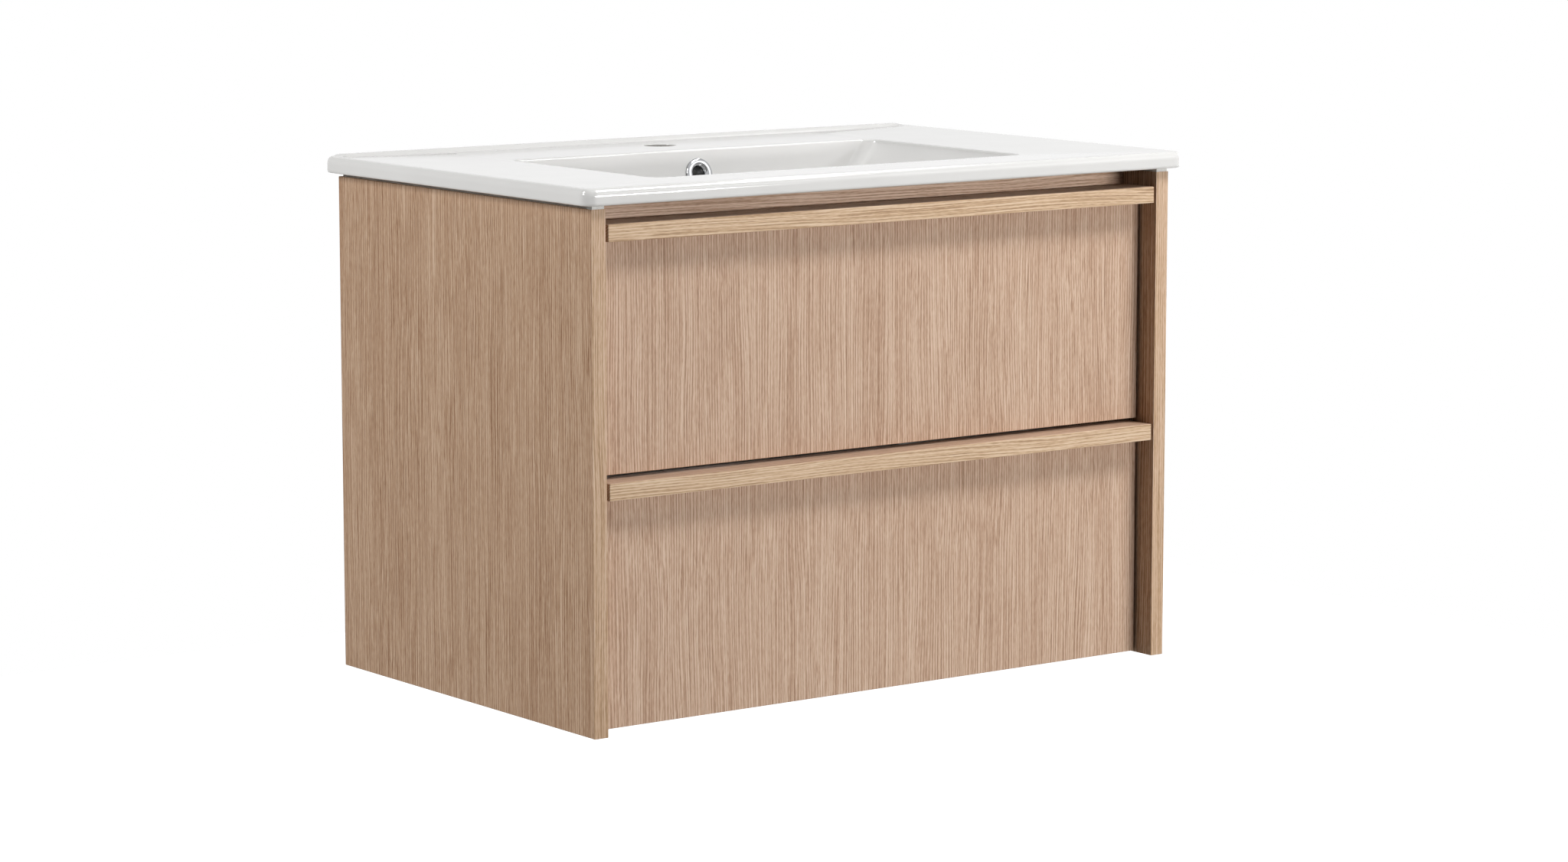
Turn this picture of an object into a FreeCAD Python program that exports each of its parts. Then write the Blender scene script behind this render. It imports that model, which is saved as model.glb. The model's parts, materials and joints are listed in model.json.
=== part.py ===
"""Wall-hung bathroom vanity: a two-drawer oak-faced cabinet under a one-piece ceramic basin top.

Millimetres, +Z up, the front faces -Y. The origin is on the wall, midway between the wall bar's screw holes.
"""
import FreeCAD, Part
import math
import os
import re
import Sketcher

# Driving sizes
SIZES = {
    # Carcass boards
    "cabinet_width": 724,
    "cabinet_depth": 463,
    "cabinet_height": 511,
    "board": 16,
    "edge_band": 1,
    "fascia_recess": 53,
    "fascia_height": 90,
    "hanging_rail_height": 100,
    "lower_rail_height": 90,
    "floor_setback": 2,
    # Drawer fronts and grip strips
    "front_recess": 24.5,
    "front_reveal": 3,
    "floor_gap": 2,
    "drawer_gap": 4,
    "top_recess": 15,
    "strip_height": 17,
    "strip_dowel_inset": 43,
    # Drawer boxes
    "side_air": 1.9,
    "box_board": 16,
    "box_bottom": 12,
    "box_rear_gap": 11,
    "lower_headroom": 45,
    "upper_headroom": 12,
    "trap_half_width": 110,
    "trap_clearance": 70,
    # Runners
    "rail_steel": 1.5,
    "rail_air": 1.1,
    "rail_flange": 34,
    "rail_screw_rise": 20,
    "rail_lip": 11,
    "rail_rise": 24,
    "rail_lift": 20,
    "rail_floor_gap": 6,
    "rail_setback": 3,
    "rail_stop_rise": 9,
    "middle_width": 20,
    "middle_height": 14,
    "drawer_rail_ear": 14,
    "slide_gap": 0.4,
    "side_clearance": 2,
    "glide_length": 40,
    # Fasteners
    "fit_clearance": 0.1,
    "through": 1,
    "cam_radius": 7.5,
    "cam_skin": 3.5,
    "cam_setback": 34,
    "bolt_radius": 3.5,
    "bolt_bite": 11,
    "dowel_radius": 4,
    "dowel_length": 30,
    "dowel_bite": 11,
    "strip_dowel_radius": 3,
    "strip_dowel_bite": 11,
    "screw_radius": 2,
    "screw_bite": 11,
    "screw_head_radius": 4,
    "screw_head": 1.6,
    "box_screw_radius": 2.5,
    "box_screw_length": 50,
    "box_screw_head_radius": 5,
    "box_screw_head": 3,
    "ear_screw_bite": 9,
    "rail_fixing_inset": 25,
    "joint_inset": 60,
    # Hanging bars
    "bar_inset": 36,
    "bar_margin": 9,
    "bar_air": 2.2,
    "bar_steel": 2,
    "bar_gap": 0.4,
    "bar_below": 18,
    "bar_hook_low": 14,
    "bar_hook_high": 24,
    "tongue_air": 2,
    "bar_above": 26,
    "wall_hole_radius": 3.25,
    "wall_hole_end": 30,
    "wall_hole_inner": 120,
    "spacer_radius": 12,
    "spacer_inset": 96,
    # Basin
    "bedding": 4,
    "bedding_width": 9,
    "bedding_inset": 3,
    "bedding_pad": 8,
    "bedding_pad_inset": 1,
    "bedding_end": 96,
    "basin_side_overhang": 13,
    "basin_front_overhang": 11,
    "basin_corner": 12,
    "basin_edge_round": 5,
    "basin_foot_round": 2.4,
    "rim_height": 17,
    "deck_drop": 2.5,
    "deck_edge": 0.8,
    "back_lip": 2,
    "back_lip_width": 13,
    "lip_inset": 0.5,
    "lip_corner": 1,
    "lip_slope": 6,
    "bowl_width": 465,
    "bowl_length": 258,
    "bowl_depth": 105,
    "bowl_gap": 1.5,
    "bowl_wall": 10,
    "bowl_corner": 14,
    "mouth_round": 3,
    "shoulder_drop": 44,
    "shoulder_in_x": 38,
    "shoulder_in_y": 9.5,
    "heel_rise": 14,
    "heel_in_x": 64,
    "heel_in_y": 20,
    "floor_in_x": 80,
    "floor_in_y": 36,
    "floor_corner": 30,
    "waste_radius": 23,
    "waste_wall": 24,
    "waste_boss_radius": 40,
    "waste_shift": 30,
    "tap_radius": 17.5,
    "overflow_top": 9.25,
    "overflow_bore": 12,
    "overflow_pocket": 18,
    "overflow_boss": 8,
    "ring_radius": 16.25,
    "ring_hole": 7.25,
    "ring_face": 3,
    "ring_edge": 1.2,
    "ring_sleeve": 12,
    "ring_wall": 2,
}

# Levels and planes worked out from the driving sizes
INNER = "(cabinet_width / 2 - board)"
WALL_GAP = "(3 * bar_steel + 2 * bar_gap + bar_air)"
PANEL_REAR = f"(-{WALL_GAP})"
PANEL_FRONT = f"({PANEL_REAR} - cabinet_depth)"
RAIL_BOARD_FRONT = f"({PANEL_REAR} - board)"
FRONT_FACE = f"({PANEL_FRONT} + front_recess)"
FRONT_REAR = f"({FRONT_FACE} + board)"
FASCIA_FRONT = f"({PANEL_FRONT} + fascia_recess)"
FASCIA_REAR = f"({FASCIA_FRONT} + board)"
BOX_REAR = f"({RAIL_BOARD_FRONT} - box_rear_gap)"
BAR_TOP = "(bar_hook_high + bar_steel + bar_above)"
BAR_HALF = f"({INNER} - bar_inset)"
PANEL_TOP = f"({BAR_TOP} + bar_margin)"
FLOOR = f"({PANEL_TOP} - cabinet_height)"
FLOOR_TOP = f"({FLOOR} + board)"
FASCIA_LOW = f"({PANEL_TOP} - fascia_height)"
HANGING_RAIL_LOW = f"({PANEL_TOP} - hanging_rail_height)"
FRONT_HEIGHT = "((cabinet_height - floor_gap - drawer_gap - top_recess) / 2 - strip_height)"
LOWER_FRONT_LOW = f"({FLOOR} + floor_gap)"
UPPER_FRONT_LOW = f"({LOWER_FRONT_LOW} + {FRONT_HEIGHT} + strip_height + drawer_gap)"
LOWER_RAIL = f"({FLOOR_TOP} + rail_floor_gap)"
UPPER_RAIL = f"({UPPER_FRONT_LOW} + rail_lift)"
RAIL_FRONT = f"({FRONT_REAR} + rail_setback)"
RAIL_REAR = f"({BOX_REAR} - rail_setback)"
MOVING_RAIL_REAR = f"({RAIL_REAR} - rail_steel - slide_gap)"

SEAT = f"({PANEL_TOP} + bedding)"
RIM_TOP = f"({SEAT} + rim_height)"
DECK = f"({RIM_TOP} - deck_drop)"
BOWL_FLOOR = f"({DECK} - bowl_depth)"
WASTE_END = f"({BOWL_FLOOR} - waste_wall)"
BASIN_HALF = "(cabinet_width / 2 + basin_side_overhang)"
BASIN_FRONT = f"({PANEL_FRONT} - basin_front_overhang)"
BOWL_FRONT = f"({FASCIA_REAR} + bowl_wall + bowl_gap)"
BOWL_REAR = f"({BOWL_FRONT} + bowl_length)"
WASTE_Y = f"({BOWL_FRONT} + bowl_length / 2 + waste_shift)"
LOWER_BOX_TOP = f"({UPPER_RAIL} - lower_headroom)"
UPPER_BOX_TOP = f"(min({WASTE_END}; {FASCIA_LOW}) - upper_headroom)"

# Slope of the bowl's rear wall, and the overflow's point on it
WALL_LEAN = "atan(shoulder_in_y / (shoulder_drop - mouth_round))"
OVERFLOW_DROP = "(ring_radius + overflow_top)"
OVERFLOW_Y = f"({BOWL_REAR} - tan({WALL_LEAN}) * ({OVERFLOW_DROP} - mouth_round))"
OVERFLOW_Z = f"({DECK} - {OVERFLOW_DROP})"

# Runner profile across the cabinet, measured inward from a side panel and up from the runner's base
SIDE_GAP = "(rail_steel + screw_head + side_air)"
SIDE_IN = f"({SIDE_GAP} + box_board)"
MIDDLE_OUT = f"({SIDE_IN} + rail_air)"
MIDDLE_IN = f"({MIDDLE_OUT} + middle_width)"
RAIL_WIDTH = f"({MIDDLE_IN} + slide_gap + rail_steel)"
MIDDLE_LOW = "(rail_steel + slide_gap)"
MIDDLE_FLOOR = f"({MIDDLE_LOW} + rail_steel)"
DRAWER_RAIL_OUT = f"({MIDDLE_OUT} + rail_steel + slide_gap)"
DRAWER_RAIL_IN = f"({MIDDLE_IN} - rail_steel - slide_gap)"
DRAWER_RAIL_LOW = f"({MIDDLE_FLOOR} + slide_gap)"
EAR_IN = f"({DRAWER_RAIL_IN} + drawer_rail_ear)"

# Where a pair of fixings sits up a drawer box wall
FIXING_SHARES = (0.3, 0.7)

LEFT, RIGHT = -1, 1
SIDES = {"left": LEFT, "right": RIGHT}
TURNS = {
    "+X": FreeCAD.Rotation(FreeCAD.Vector(0, 1, 0), 90),
    "-X": FreeCAD.Rotation(FreeCAD.Vector(0, 1, 0), -90),
    "+Y": FreeCAD.Rotation(FreeCAD.Vector(1, 0, 0), -90),
    "-Y": FreeCAD.Rotation(FreeCAD.Vector(1, 0, 0), 90),
    "+Z": FreeCAD.Rotation(),
}
ACROSS_CABINET = FreeCAD.Rotation(FreeCAD.Vector(1, 0, 0), 90)
ALONG_CABINET = FreeCAD.Rotation(FreeCAD.Vector(1, 1, 1), 120)

doc = FreeCAD.newDocument("vanity")
sheet = doc.addObject("Spreadsheet::Sheet", "Sizes")
for row, (alias, size) in enumerate(SIZES.items(), start=1):
    sheet.set(f"A{row}", alias)
    sheet.set(f"B{row}", str(size))
    sheet.setAlias(f"B{row}", alias)
doc.recompute()

pieces = []


def linked(expression):
    """The expression with every named size pointing at its cell."""
    return re.sub(r"[a-z][a-z_]+", lambda word: ("Sizes." if word[0] in SIZES else "") + word[0], expression)


def measured(expression):
    """The expression's value for the sizes as they stand."""
    return float(sheet.evalExpression(linked(expression)))


def bind(target, path, expression):
    target.setExpression(path, linked(expression))


def place(target, x, y, z):
    for axis, expression in zip("xyz", (x, y, z)):
        bind(target, f"Placement.Base.{axis}", expression)


def piece(label, solid):
    """Name a finished sub-part."""
    solid.Label = label
    pieces.append(solid)
    return solid


def block(name, x, y, z):
    """A square block; x, y and z are pairs of low and high limits."""
    solid = doc.addObject("Part::Box", name)
    for side, (low, high) in zip(("Length", "Width", "Height"), (x, y, z)):
        bind(solid, side, f"({high}) - ({low})")
    place(solid, x[0], y[0], z[0])
    return solid


def rod(name, way, start, radius, length):
    """A round bar from a start point along an axis."""
    solid = doc.addObject("Part::Cylinder", name)
    solid.Placement = FreeCAD.Placement(FreeCAD.Vector(), TURNS[way])
    bind(solid, "Radius", radius)
    bind(solid, "Height", length)
    place(solid, *start)
    return solid


def fused(name, solids):
    whole = doc.addObject("Part::MultiFuse", name)
    whole.Shapes = solids
    whole.Refine = True
    return whole


def grouped(name, solids):
    """Separate solids kept as one group."""
    whole = doc.addObject("Part::Compound", name)
    whole.Links = solids
    return whole


def drilled(name, solid, holes):
    """A solid less a set of holes that don't meet one another."""
    cut = doc.addObject("Part::Cut", name)
    cut.Base = solid
    cut.Tool = grouped(f"{name}_holes", holes)
    return cut


def draw_corners(sketch, corners):
    """Draw a closed outline in a sketch and hold each corner at its pair of expressions."""
    points = [FreeCAD.Vector(measured(u), measured(v), 0) for u, v in corners]
    for index, point in enumerate(points):
        sketch.addGeometry(Part.LineSegment(point, points[(index + 1) % len(points)]))
    for index, corner in enumerate(corners):
        before = (index - 1) % len(corners)
        sketch.addConstraint(Sketcher.Constraint("Coincident", before, 2, index, 1))
        for kind, expression in zip(("DistanceX", "DistanceY"), corner):
            number = sketch.addConstraint(Sketcher.Constraint(kind, -1, 1, index, 1, measured(expression)))
            bind(sketch, f"Constraints[{number}]", expression)


def polygon(name, corners, turn):
    """A closed sketch whose corners are each held at a pair of expressions."""
    sketch = doc.addObject("Sketcher::SketchObject", name)
    sketch.Placement = FreeCAD.Placement(FreeCAD.Vector(), turn)
    draw_corners(sketch, corners)
    return sketch


def extruded(name, sketch, length):
    """A sketch drawn out along its normal."""
    bar = doc.addObject("Part::Extrusion", name)
    bar.Base = sketch
    bar.DirMode = "Normal"
    bar.Solid = True
    bind(bar, "LengthFwd", length)
    return bar


def rounded_section(name, half, front, back, radius, height):
    """A level rectangle with rounded corners, centred across the cabinet."""
    sketch = doc.addObject("Sketcher::SketchObject", name)
    place(sketch, "0", "0", height)
    right, low, high, bend = (measured(size) for size in (half, front, back, radius))
    runs = [
        ((-right + bend, low), (right - bend, low)),
        ((right, low + bend), (right, high - bend)),
        ((right - bend, high), (-right + bend, high)),
        ((-right, high - bend), (-right, low + bend)),
    ]
    for start, end in runs:
        sketch.addGeometry(Part.LineSegment(FreeCAD.Vector(*start, 0), FreeCAD.Vector(*end, 0)))
    centres = [(right - bend, low + bend), (right - bend, high - bend),
               (-right + bend, high - bend), (-right + bend, low + bend)]
    quarter = math.pi / 2
    for index, centre in enumerate(centres):
        circle = Part.Circle(FreeCAD.Vector(*centre, 0), FreeCAD.Vector(0, 0, 1), bend)
        sketch.addGeometry(Part.ArcOfCircle(circle, (index - 1) * quarter, index * quarter))
    for index in range(4):
        arc = 4 + index
        sketch.addConstraint(Sketcher.Constraint("Tangent", index, 2, arc, 1))
        sketch.addConstraint(Sketcher.Constraint("Tangent", arc, 2, (index + 1) % 4, 1))
        sketch.addConstraint(Sketcher.Constraint("Vertical" if index % 2 else "Horizontal", index))
        if index:
            sketch.addConstraint(Sketcher.Constraint("Equal", 4, arc))
    held = [("Radius", (4,), radius), ("DistanceY", (-1, 1, 0, 1), front), ("DistanceX", (-1, 1, 1, 1), half),
            ("DistanceY", (-1, 1, 2, 1), back), ("DistanceX", (-1, 1, 3, 1), f"-({half})")]
    for kind, where, expression in held:
        number = sketch.addConstraint(Sketcher.Constraint(kind, *where, measured(expression)))
        bind(sketch, f"Constraints[{number}]", expression)
    return sketch


def lofted(name, sections):
    """A solid with flat-ruled walls through level sections."""
    loft = doc.addObject("Part::Loft", name)
    loft.Sections = sections
    loft.Solid = True
    loft.Ruled = True
    return loft


def from_side(side, inward):
    """The x of a point that lies inward of one side panel's inner face."""
    return f"{side} * ({INNER} - ({inward}))"


def side_span(side, near, far):
    """Low and high x of a stretch measured inward from one side panel."""
    limits = (from_side(side, near), from_side(side, far))
    return limits if side == LEFT else limits[::-1]


def outward(side):
    return "+X" if side == RIGHT else "-X"


def inward(side):
    return "-X" if side == RIGHT else "+X"


def cam_joints(name, rows, cam_plane, cam_way):
    """Cam bolts, cams and their holes where a cross board meets both side panels.

    rows gives the y and z of each bolt; the cams start on the plane of the board's hidden face.
    """
    bolts, cams, bolt_holes, cam_holes = [], [], {LEFT: [], RIGHT: []}, []
    for index, (y, z) in enumerate(rows):
        for hand, side in SIDES.items():
            tag = f"{name}_{index}_{hand}"
            way = outward(side)
            shank = "cam_setback - cam_radius"
            bolts.append(rod(f"{tag}_bolt", way, (from_side(side, shank), y, z),
                             "bolt_radius", f"{shank} + bolt_bite"))
            bolt_holes[side].append(rod(f"{tag}_bolt_hole", way, (from_side(side, "cam_setback"), y, z),
                                        "bolt_radius + fit_clearance",
                                        "cam_setback + bolt_bite + fit_clearance"))
            face = (y, cam_plane) if cam_way == "+Z" else (cam_plane, z)
            start = (from_side(side, "cam_setback"), *face)
            cams.append(rod(f"{tag}_cam", cam_way, start, "cam_radius", "board - cam_skin"))
            cam_holes.append(rod(f"{tag}_cam_hole", cam_way, start,
                                 "cam_radius + fit_clearance", "board - cam_skin + fit_clearance"))
    return bolts, cams, bolt_holes, cam_holes


def dowel_joints(name, rows):
    """Wooden dowels and their holes where a cross board meets both side panels."""
    dowels, holes = [], {LEFT: [], RIGHT: []}
    for index, (y, z) in enumerate(rows):
        for hand, side in SIDES.items():
            tag = f"{name}_{index}_{hand}"
            reach = "dowel_length - dowel_bite"
            dowels.append(rod(f"{tag}_dowel", outward(side), (from_side(side, reach), y, z),
                              "dowel_radius", "dowel_length"))
            holes[side].append(rod(f"{tag}_dowel_hole", outward(side),
                                   (from_side(side, f"{reach} + fit_clearance"), y, z),
                                   "dowel_radius + fit_clearance", "dowel_length + 2 * fit_clearance"))
    return dowels, holes


def headed_screw(tag, way, head_way, start, shank, length, head_radius, head):
    """A screw: its shank runs one way from the seat under its head, and the head the other."""
    return fused(tag, [rod(f"{tag}_shank", way, start, shank, length),
                       rod(f"{tag}_head", head_way, start, head_radius, head)])


def cross_boards():
    """The four boards that tie the side panels together, with their cams and dowels."""
    floor_mid = f"{FLOOR} + board / 2"
    rear_mid = f"{PANEL_REAR} - board / 2"
    fascia_mid = f"{FASCIA_FRONT} + board / 2"
    floor_front = f"{FRONT_REAR} + floor_setback"
    width = (f"-{INNER}", INNER)
    low_rail = (FLOOR_TOP, f"{FLOOR_TOP} + lower_rail_height")
    boards = {
        "bottom_panel": {
            "limits": (width, (floor_front, PANEL_REAR), (FLOOR, FLOOR_TOP)),
            "cams": [(f"{floor_front} + joint_inset", floor_mid), (f"{PANEL_REAR} - joint_inset", floor_mid)],
            "dowels": [(f"({floor_front} + {PANEL_REAR}) / 2", floor_mid)],
            "cam": (FLOOR, "+Z"),
        },
        "front_fascia_rail": {
            "limits": (width, (FASCIA_FRONT, FASCIA_REAR), (FASCIA_LOW, PANEL_TOP)),
            "cams": [(fascia_mid, f"{FASCIA_LOW} + rail_fixing_inset")],
            "dowels": [(fascia_mid, f"{PANEL_TOP} - rail_fixing_inset")],
            "cam": (FASCIA_REAR, "-Y"),
        },
        "rear_hanging_rail": {
            "limits": (width, (RAIL_BOARD_FRONT, PANEL_REAR), (HANGING_RAIL_LOW, PANEL_TOP)),
            "cams": [(rear_mid, f"{HANGING_RAIL_LOW} + rail_fixing_inset")],
            "dowels": [(rear_mid, f"{PANEL_TOP} - rail_fixing_inset")],
            "cam": (PANEL_REAR, "-Y"),
        },
        "rear_lower_rail": {
            "limits": (width, (RAIL_BOARD_FRONT, PANEL_REAR), low_rail),
            "cams": [(rear_mid, f"{low_rail[0]} + rail_fixing_inset")],
            "dowels": [(rear_mid, f"{low_rail[1]} - rail_fixing_inset")],
            "cam": (PANEL_REAR, "-Y"),
        },
    }
    fittings = {"bolts": [], "cams": [], "dowels": []}
    panel_holes = {LEFT: [], RIGHT: []}
    board_holes = {}
    blanks = {}
    for name, plan in boards.items():
        bolts, cams, bolt_holes, cam_holes = cam_joints(name, plan["cams"], *plan["cam"])
        dowels, dowel_holes = dowel_joints(name, plan["dowels"])
        fittings["bolts"] += bolts
        fittings["cams"] += cams
        fittings["dowels"] += dowels
        for side in (LEFT, RIGHT):
            panel_holes[side] += bolt_holes[side] + dowel_holes[side]
        cam_sockets = fused(f"{name}_sockets", cam_holes + bolt_holes[LEFT] + bolt_holes[RIGHT])
        board_holes[name] = [cam_sockets] + dowel_holes[LEFT] + dowel_holes[RIGHT]
        blanks[name] = block(f"{name}_blank", *plan["limits"])
    return blanks, board_holes, panel_holes, fittings


def hanging_bars(rail_holes):
    """The steel bar screwed to the wall, the bar on the cabinet that hooks over it, and its screws."""
    hook_face = f"({WALL_GAP} - bar_steel - bar_gap)"
    hook_back = f"({hook_face} - bar_steel)"
    wall_outline = [
        ("0", "-bar_below"), ("0", "bar_hook_low"), (f"-{hook_back}", "bar_hook_low"),
        (f"-{hook_back}", "bar_hook_high"), (f"-{hook_face}", "bar_hook_high"),
        (f"-{hook_face}", "bar_hook_low - bar_steel"), ("-bar_steel", "bar_hook_low - bar_steel"),
        ("-bar_steel", "-bar_below"),
    ]
    tongue_front = f"(bar_gap - {hook_back})"
    tongue_back = f"({tongue_front} + bar_steel)"
    tongue_low = "(bar_hook_low + tongue_air)"
    web_back = f"(bar_steel - {WALL_GAP})"
    step_top = "(bar_hook_high + bar_steel)"
    cabinet_outline = [
        (PANEL_REAR, "bar_hook_high"), (PANEL_REAR, BAR_TOP), (web_back, BAR_TOP), (web_back, step_top),
        (tongue_back, step_top), (tongue_back, tongue_low), (tongue_front, tongue_low),
        (tongue_front, "bar_hook_high"),
    ]
    outer = f"({BAR_HALF} - wall_hole_end)"
    places = [f"-{outer}", "-wall_hole_inner", "wall_hole_inner", outer]
    wall_holes, screws, screw_holes = [], [], []
    for index, x in enumerate(places):
        wall_holes.append(rod(f"wall_hole_{index}", "-Y", (x, "through", "0"),
                              "wall_hole_radius", "bar_steel + 2 * through"))
        start = (x, web_back, f"({step_top} + {BAR_TOP}) / 2")
        screws.append(headed_screw(f"bar_screw_{index}", "-Y", "+Y", start, "screw_radius",
                                   "bar_steel + screw_bite", "screw_head_radius", "screw_head"))
        screw_holes.append(rod(f"bar_screw_hole_{index}", "-Y", start, "screw_radius + fit_clearance",
                               "bar_steel + screw_bite + fit_clearance"))
    for label, outline, holes in (("wall_hanging_bar", wall_outline, wall_holes),
                                  ("cabinet_hanging_bar", cabinet_outline, screw_holes)):
        sketch = polygon(f"{label}_profile", outline, ALONG_CABINET)
        place(sketch, f"-{BAR_HALF}", "0", "0")
        bar = extruded(f"{label}_bar", sketch, f"2 * {BAR_HALF}")
        piece(label, drilled(f"{label}_drilled", bar, holes))
    piece("hanging_bar_screws", grouped("bar_screws", screws))
    rail_holes += screw_holes


def cabinet_rails(panel_holes):
    """The four fixed runner rails on the side panels, with the screws that hold them."""
    screws = []
    for level, base in (("upper", UPPER_RAIL), ("lower", LOWER_RAIL)):
        for hand, side in SIDES.items():
            tag = f"{level}_{hand}_cabinet_rail"
            lip_out = f"{RAIL_WIDTH} - rail_steel"
            outline = [("0", "0"), (RAIL_WIDTH, "0"), (RAIL_WIDTH, "rail_lip"), (lip_out, "rail_lip"),
                       (lip_out, "rail_steel"), ("rail_steel", "rail_steel"), ("rail_steel", "rail_flange"),
                       ("0", "rail_flange")]
            corners = [(from_side(side, u), f"{base} + {v}") for u, v in outline]
            sketch = polygon(f"{tag}_profile", corners, ACROSS_CABINET)
            place(sketch, "0", RAIL_REAR, "0")
            tray = extruded(f"{tag}_tray", sketch, f"{RAIL_REAR} - {RAIL_FRONT}")
            stop = block(f"{tag}_stop", side_span(side, MIDDLE_OUT, lip_out),
                         (f"{RAIL_REAR} - rail_steel", RAIL_REAR),
                         (f"{base} + rail_steel", f"{base} + rail_steel + rail_stop_rise"))
            rows = [f"{RAIL_FRONT} + joint_inset", f"({RAIL_FRONT} + {RAIL_REAR}) / 2",
                    f"{RAIL_REAR} - joint_inset"]
            holes = []
            for index, y in enumerate(rows):
                start = (from_side(side, "rail_steel"), y, f"{base} + rail_screw_rise")
                screws.append(headed_screw(f"{tag}_screw_{index}", outward(side), inward(side), start,
                                           "screw_radius", "rail_steel + screw_bite",
                                           "screw_head_radius", "screw_head"))
                holes.append(rod(f"{tag}_hole_{index}", outward(side), start, "screw_radius + fit_clearance",
                                 "rail_steel + screw_bite + fit_clearance"))
            panel_holes[side] += holes
            piece(tag, drilled(f"{tag}_drilled", fused(f"{tag}_body", [tray, stop]), holes))
    piece("cabinet_rail_screws", grouped("rail_screws", screws))


def carcass():
    """Side panels, edge bands, cross boards, hanging bars, fixed rails and wall spacers."""
    blanks, board_holes, panel_holes, fittings = cross_boards()
    hanging_bars(board_holes["rear_hanging_rail"])
    cabinet_rails(panel_holes)
    for name, blank in blanks.items():
        piece(name, drilled(f"{name}_drilled", blank, board_holes[name]))
    piece("cam_bolts", grouped("carcass_bolts", fittings["bolts"]))
    piece("cam_locks", grouped("carcass_cams", fittings["cams"]))
    piece("carcass_dowels", grouped("carcass_dowel_set", fittings["dowels"]))
    for hand, side in SIDES.items():
        depth = side_span(side, "-board", "0")
        height = (FLOOR, PANEL_TOP)
        panel = block(f"{hand}_panel_blank", depth, (f"{PANEL_FRONT} + edge_band", PANEL_REAR), height)
        piece(f"{hand}_side_panel", drilled(f"{hand}_panel_drilled", panel, panel_holes[side]))
        piece(f"{hand}_panel_edge_band",
              block(f"{hand}_band", depth, (PANEL_FRONT, f"{PANEL_FRONT} + edge_band"), height))
    spacers = [rod(f"spacer_{hand}", "-Y", (from_side(side, "spacer_inset"), "0",
                                           f"{FLOOR_TOP} + lower_rail_height / 2"),
                   "spacer_radius", WALL_GAP) for hand, side in SIDES.items()]
    piece("wall_spacers", grouped("spacers", spacers))


def basin_section(name, drop, in_x, in_y, radius):
    """One level section of the bowl, drawn in from its mouth by in_x and in_y."""
    return rounded_section(name, f"bowl_width / 2 - ({in_x})", f"{BOWL_FRONT} + ({in_y})",
                           f"{BOWL_REAR} - ({in_y})", radius, f"{DECK} - ({drop})")


def basin_slab():
    """The rim and deck: a slab with rounded corners and edges."""
    round_over = "basin_edge_round"
    half_way = "basin_edge_round * (1 - cos(45))"
    levels = [(SEAT, "basin_foot_round"), (f"{SEAT} + basin_foot_round", "0"),
              (f"{RIM_TOP} - {round_over}", "0"), (f"{RIM_TOP} - {half_way}", half_way),
              (RIM_TOP, round_over)]
    sections = []
    for index, (height, inset) in enumerate(levels):
        sections.append(rounded_section(f"slab_{index}", f"{BASIN_HALF} - {inset}",
                                        f"{BASIN_FRONT} + {inset}", f"-({inset})",
                                        f"basin_corner - {inset}", height))
    return lofted("basin_slab", sections)


def basin_back_lip():
    """The low raised ledge along the wall side of the rim."""
    root = "basin_edge_round + lip_inset"
    sections = []
    for index, (height, inset) in enumerate(((f"{RIM_TOP} - back_lip", root),
                                             (f"{RIM_TOP} + back_lip", f"{root} + back_lip"))):
        sections.append(rounded_section(f"lip_{index}", f"{BASIN_HALF} - ({inset})",
                                        "-(back_lip_width + lip_slope)", f"-({inset})", "lip_corner", height))
    return lofted("back_lip", sections)


def basin_deck_recess():
    """The deck: level at and behind the bowl, rising gently to the front and side edges and to the lip."""
    flat = "mouth_round + deck_edge"
    rim = "basin_edge_round + deck_edge"
    inner = (f"bowl_width / 2 + {flat}", f"{BOWL_FRONT} - ({flat})", f"bowl_corner + {flat}")
    outer = (f"{BASIN_HALF} - ({rim})", f"{BASIN_FRONT} + {rim}", "basin_corner - basin_edge_round")
    lip_share = "back_lip / (back_lip + deck_drop)"
    levels = [(DECK, inner, "-(back_lip_width + lip_slope)"),
              (RIM_TOP, outer, f"-(back_lip_width + lip_slope * {lip_share})"),
              (f"{RIM_TOP} + back_lip + through", outer, "-back_lip_width")]
    sections = []
    for index, (height, (half, front, radius), back) in enumerate(levels):
        sections.append(rounded_section(f"deck_{index}", half, front, back, radius, height))
    return lofted("deck_recess", sections)


def bowl_levels():
    """Drop below the deck, inset across, inset front to back and corner radius of the bowl's sections."""
    return [("0", "-mouth_round", "-mouth_round", "bowl_corner + mouth_round"),
            ("mouth_round", "0", "0", "bowl_corner"),
            ("shoulder_drop", "shoulder_in_x", "shoulder_in_y", "bowl_corner"),
            ("bowl_depth - heel_rise", "heel_in_x", "heel_in_y", "floor_corner"),
            ("bowl_depth", "floor_in_x", "floor_in_y", "floor_corner")]


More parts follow.
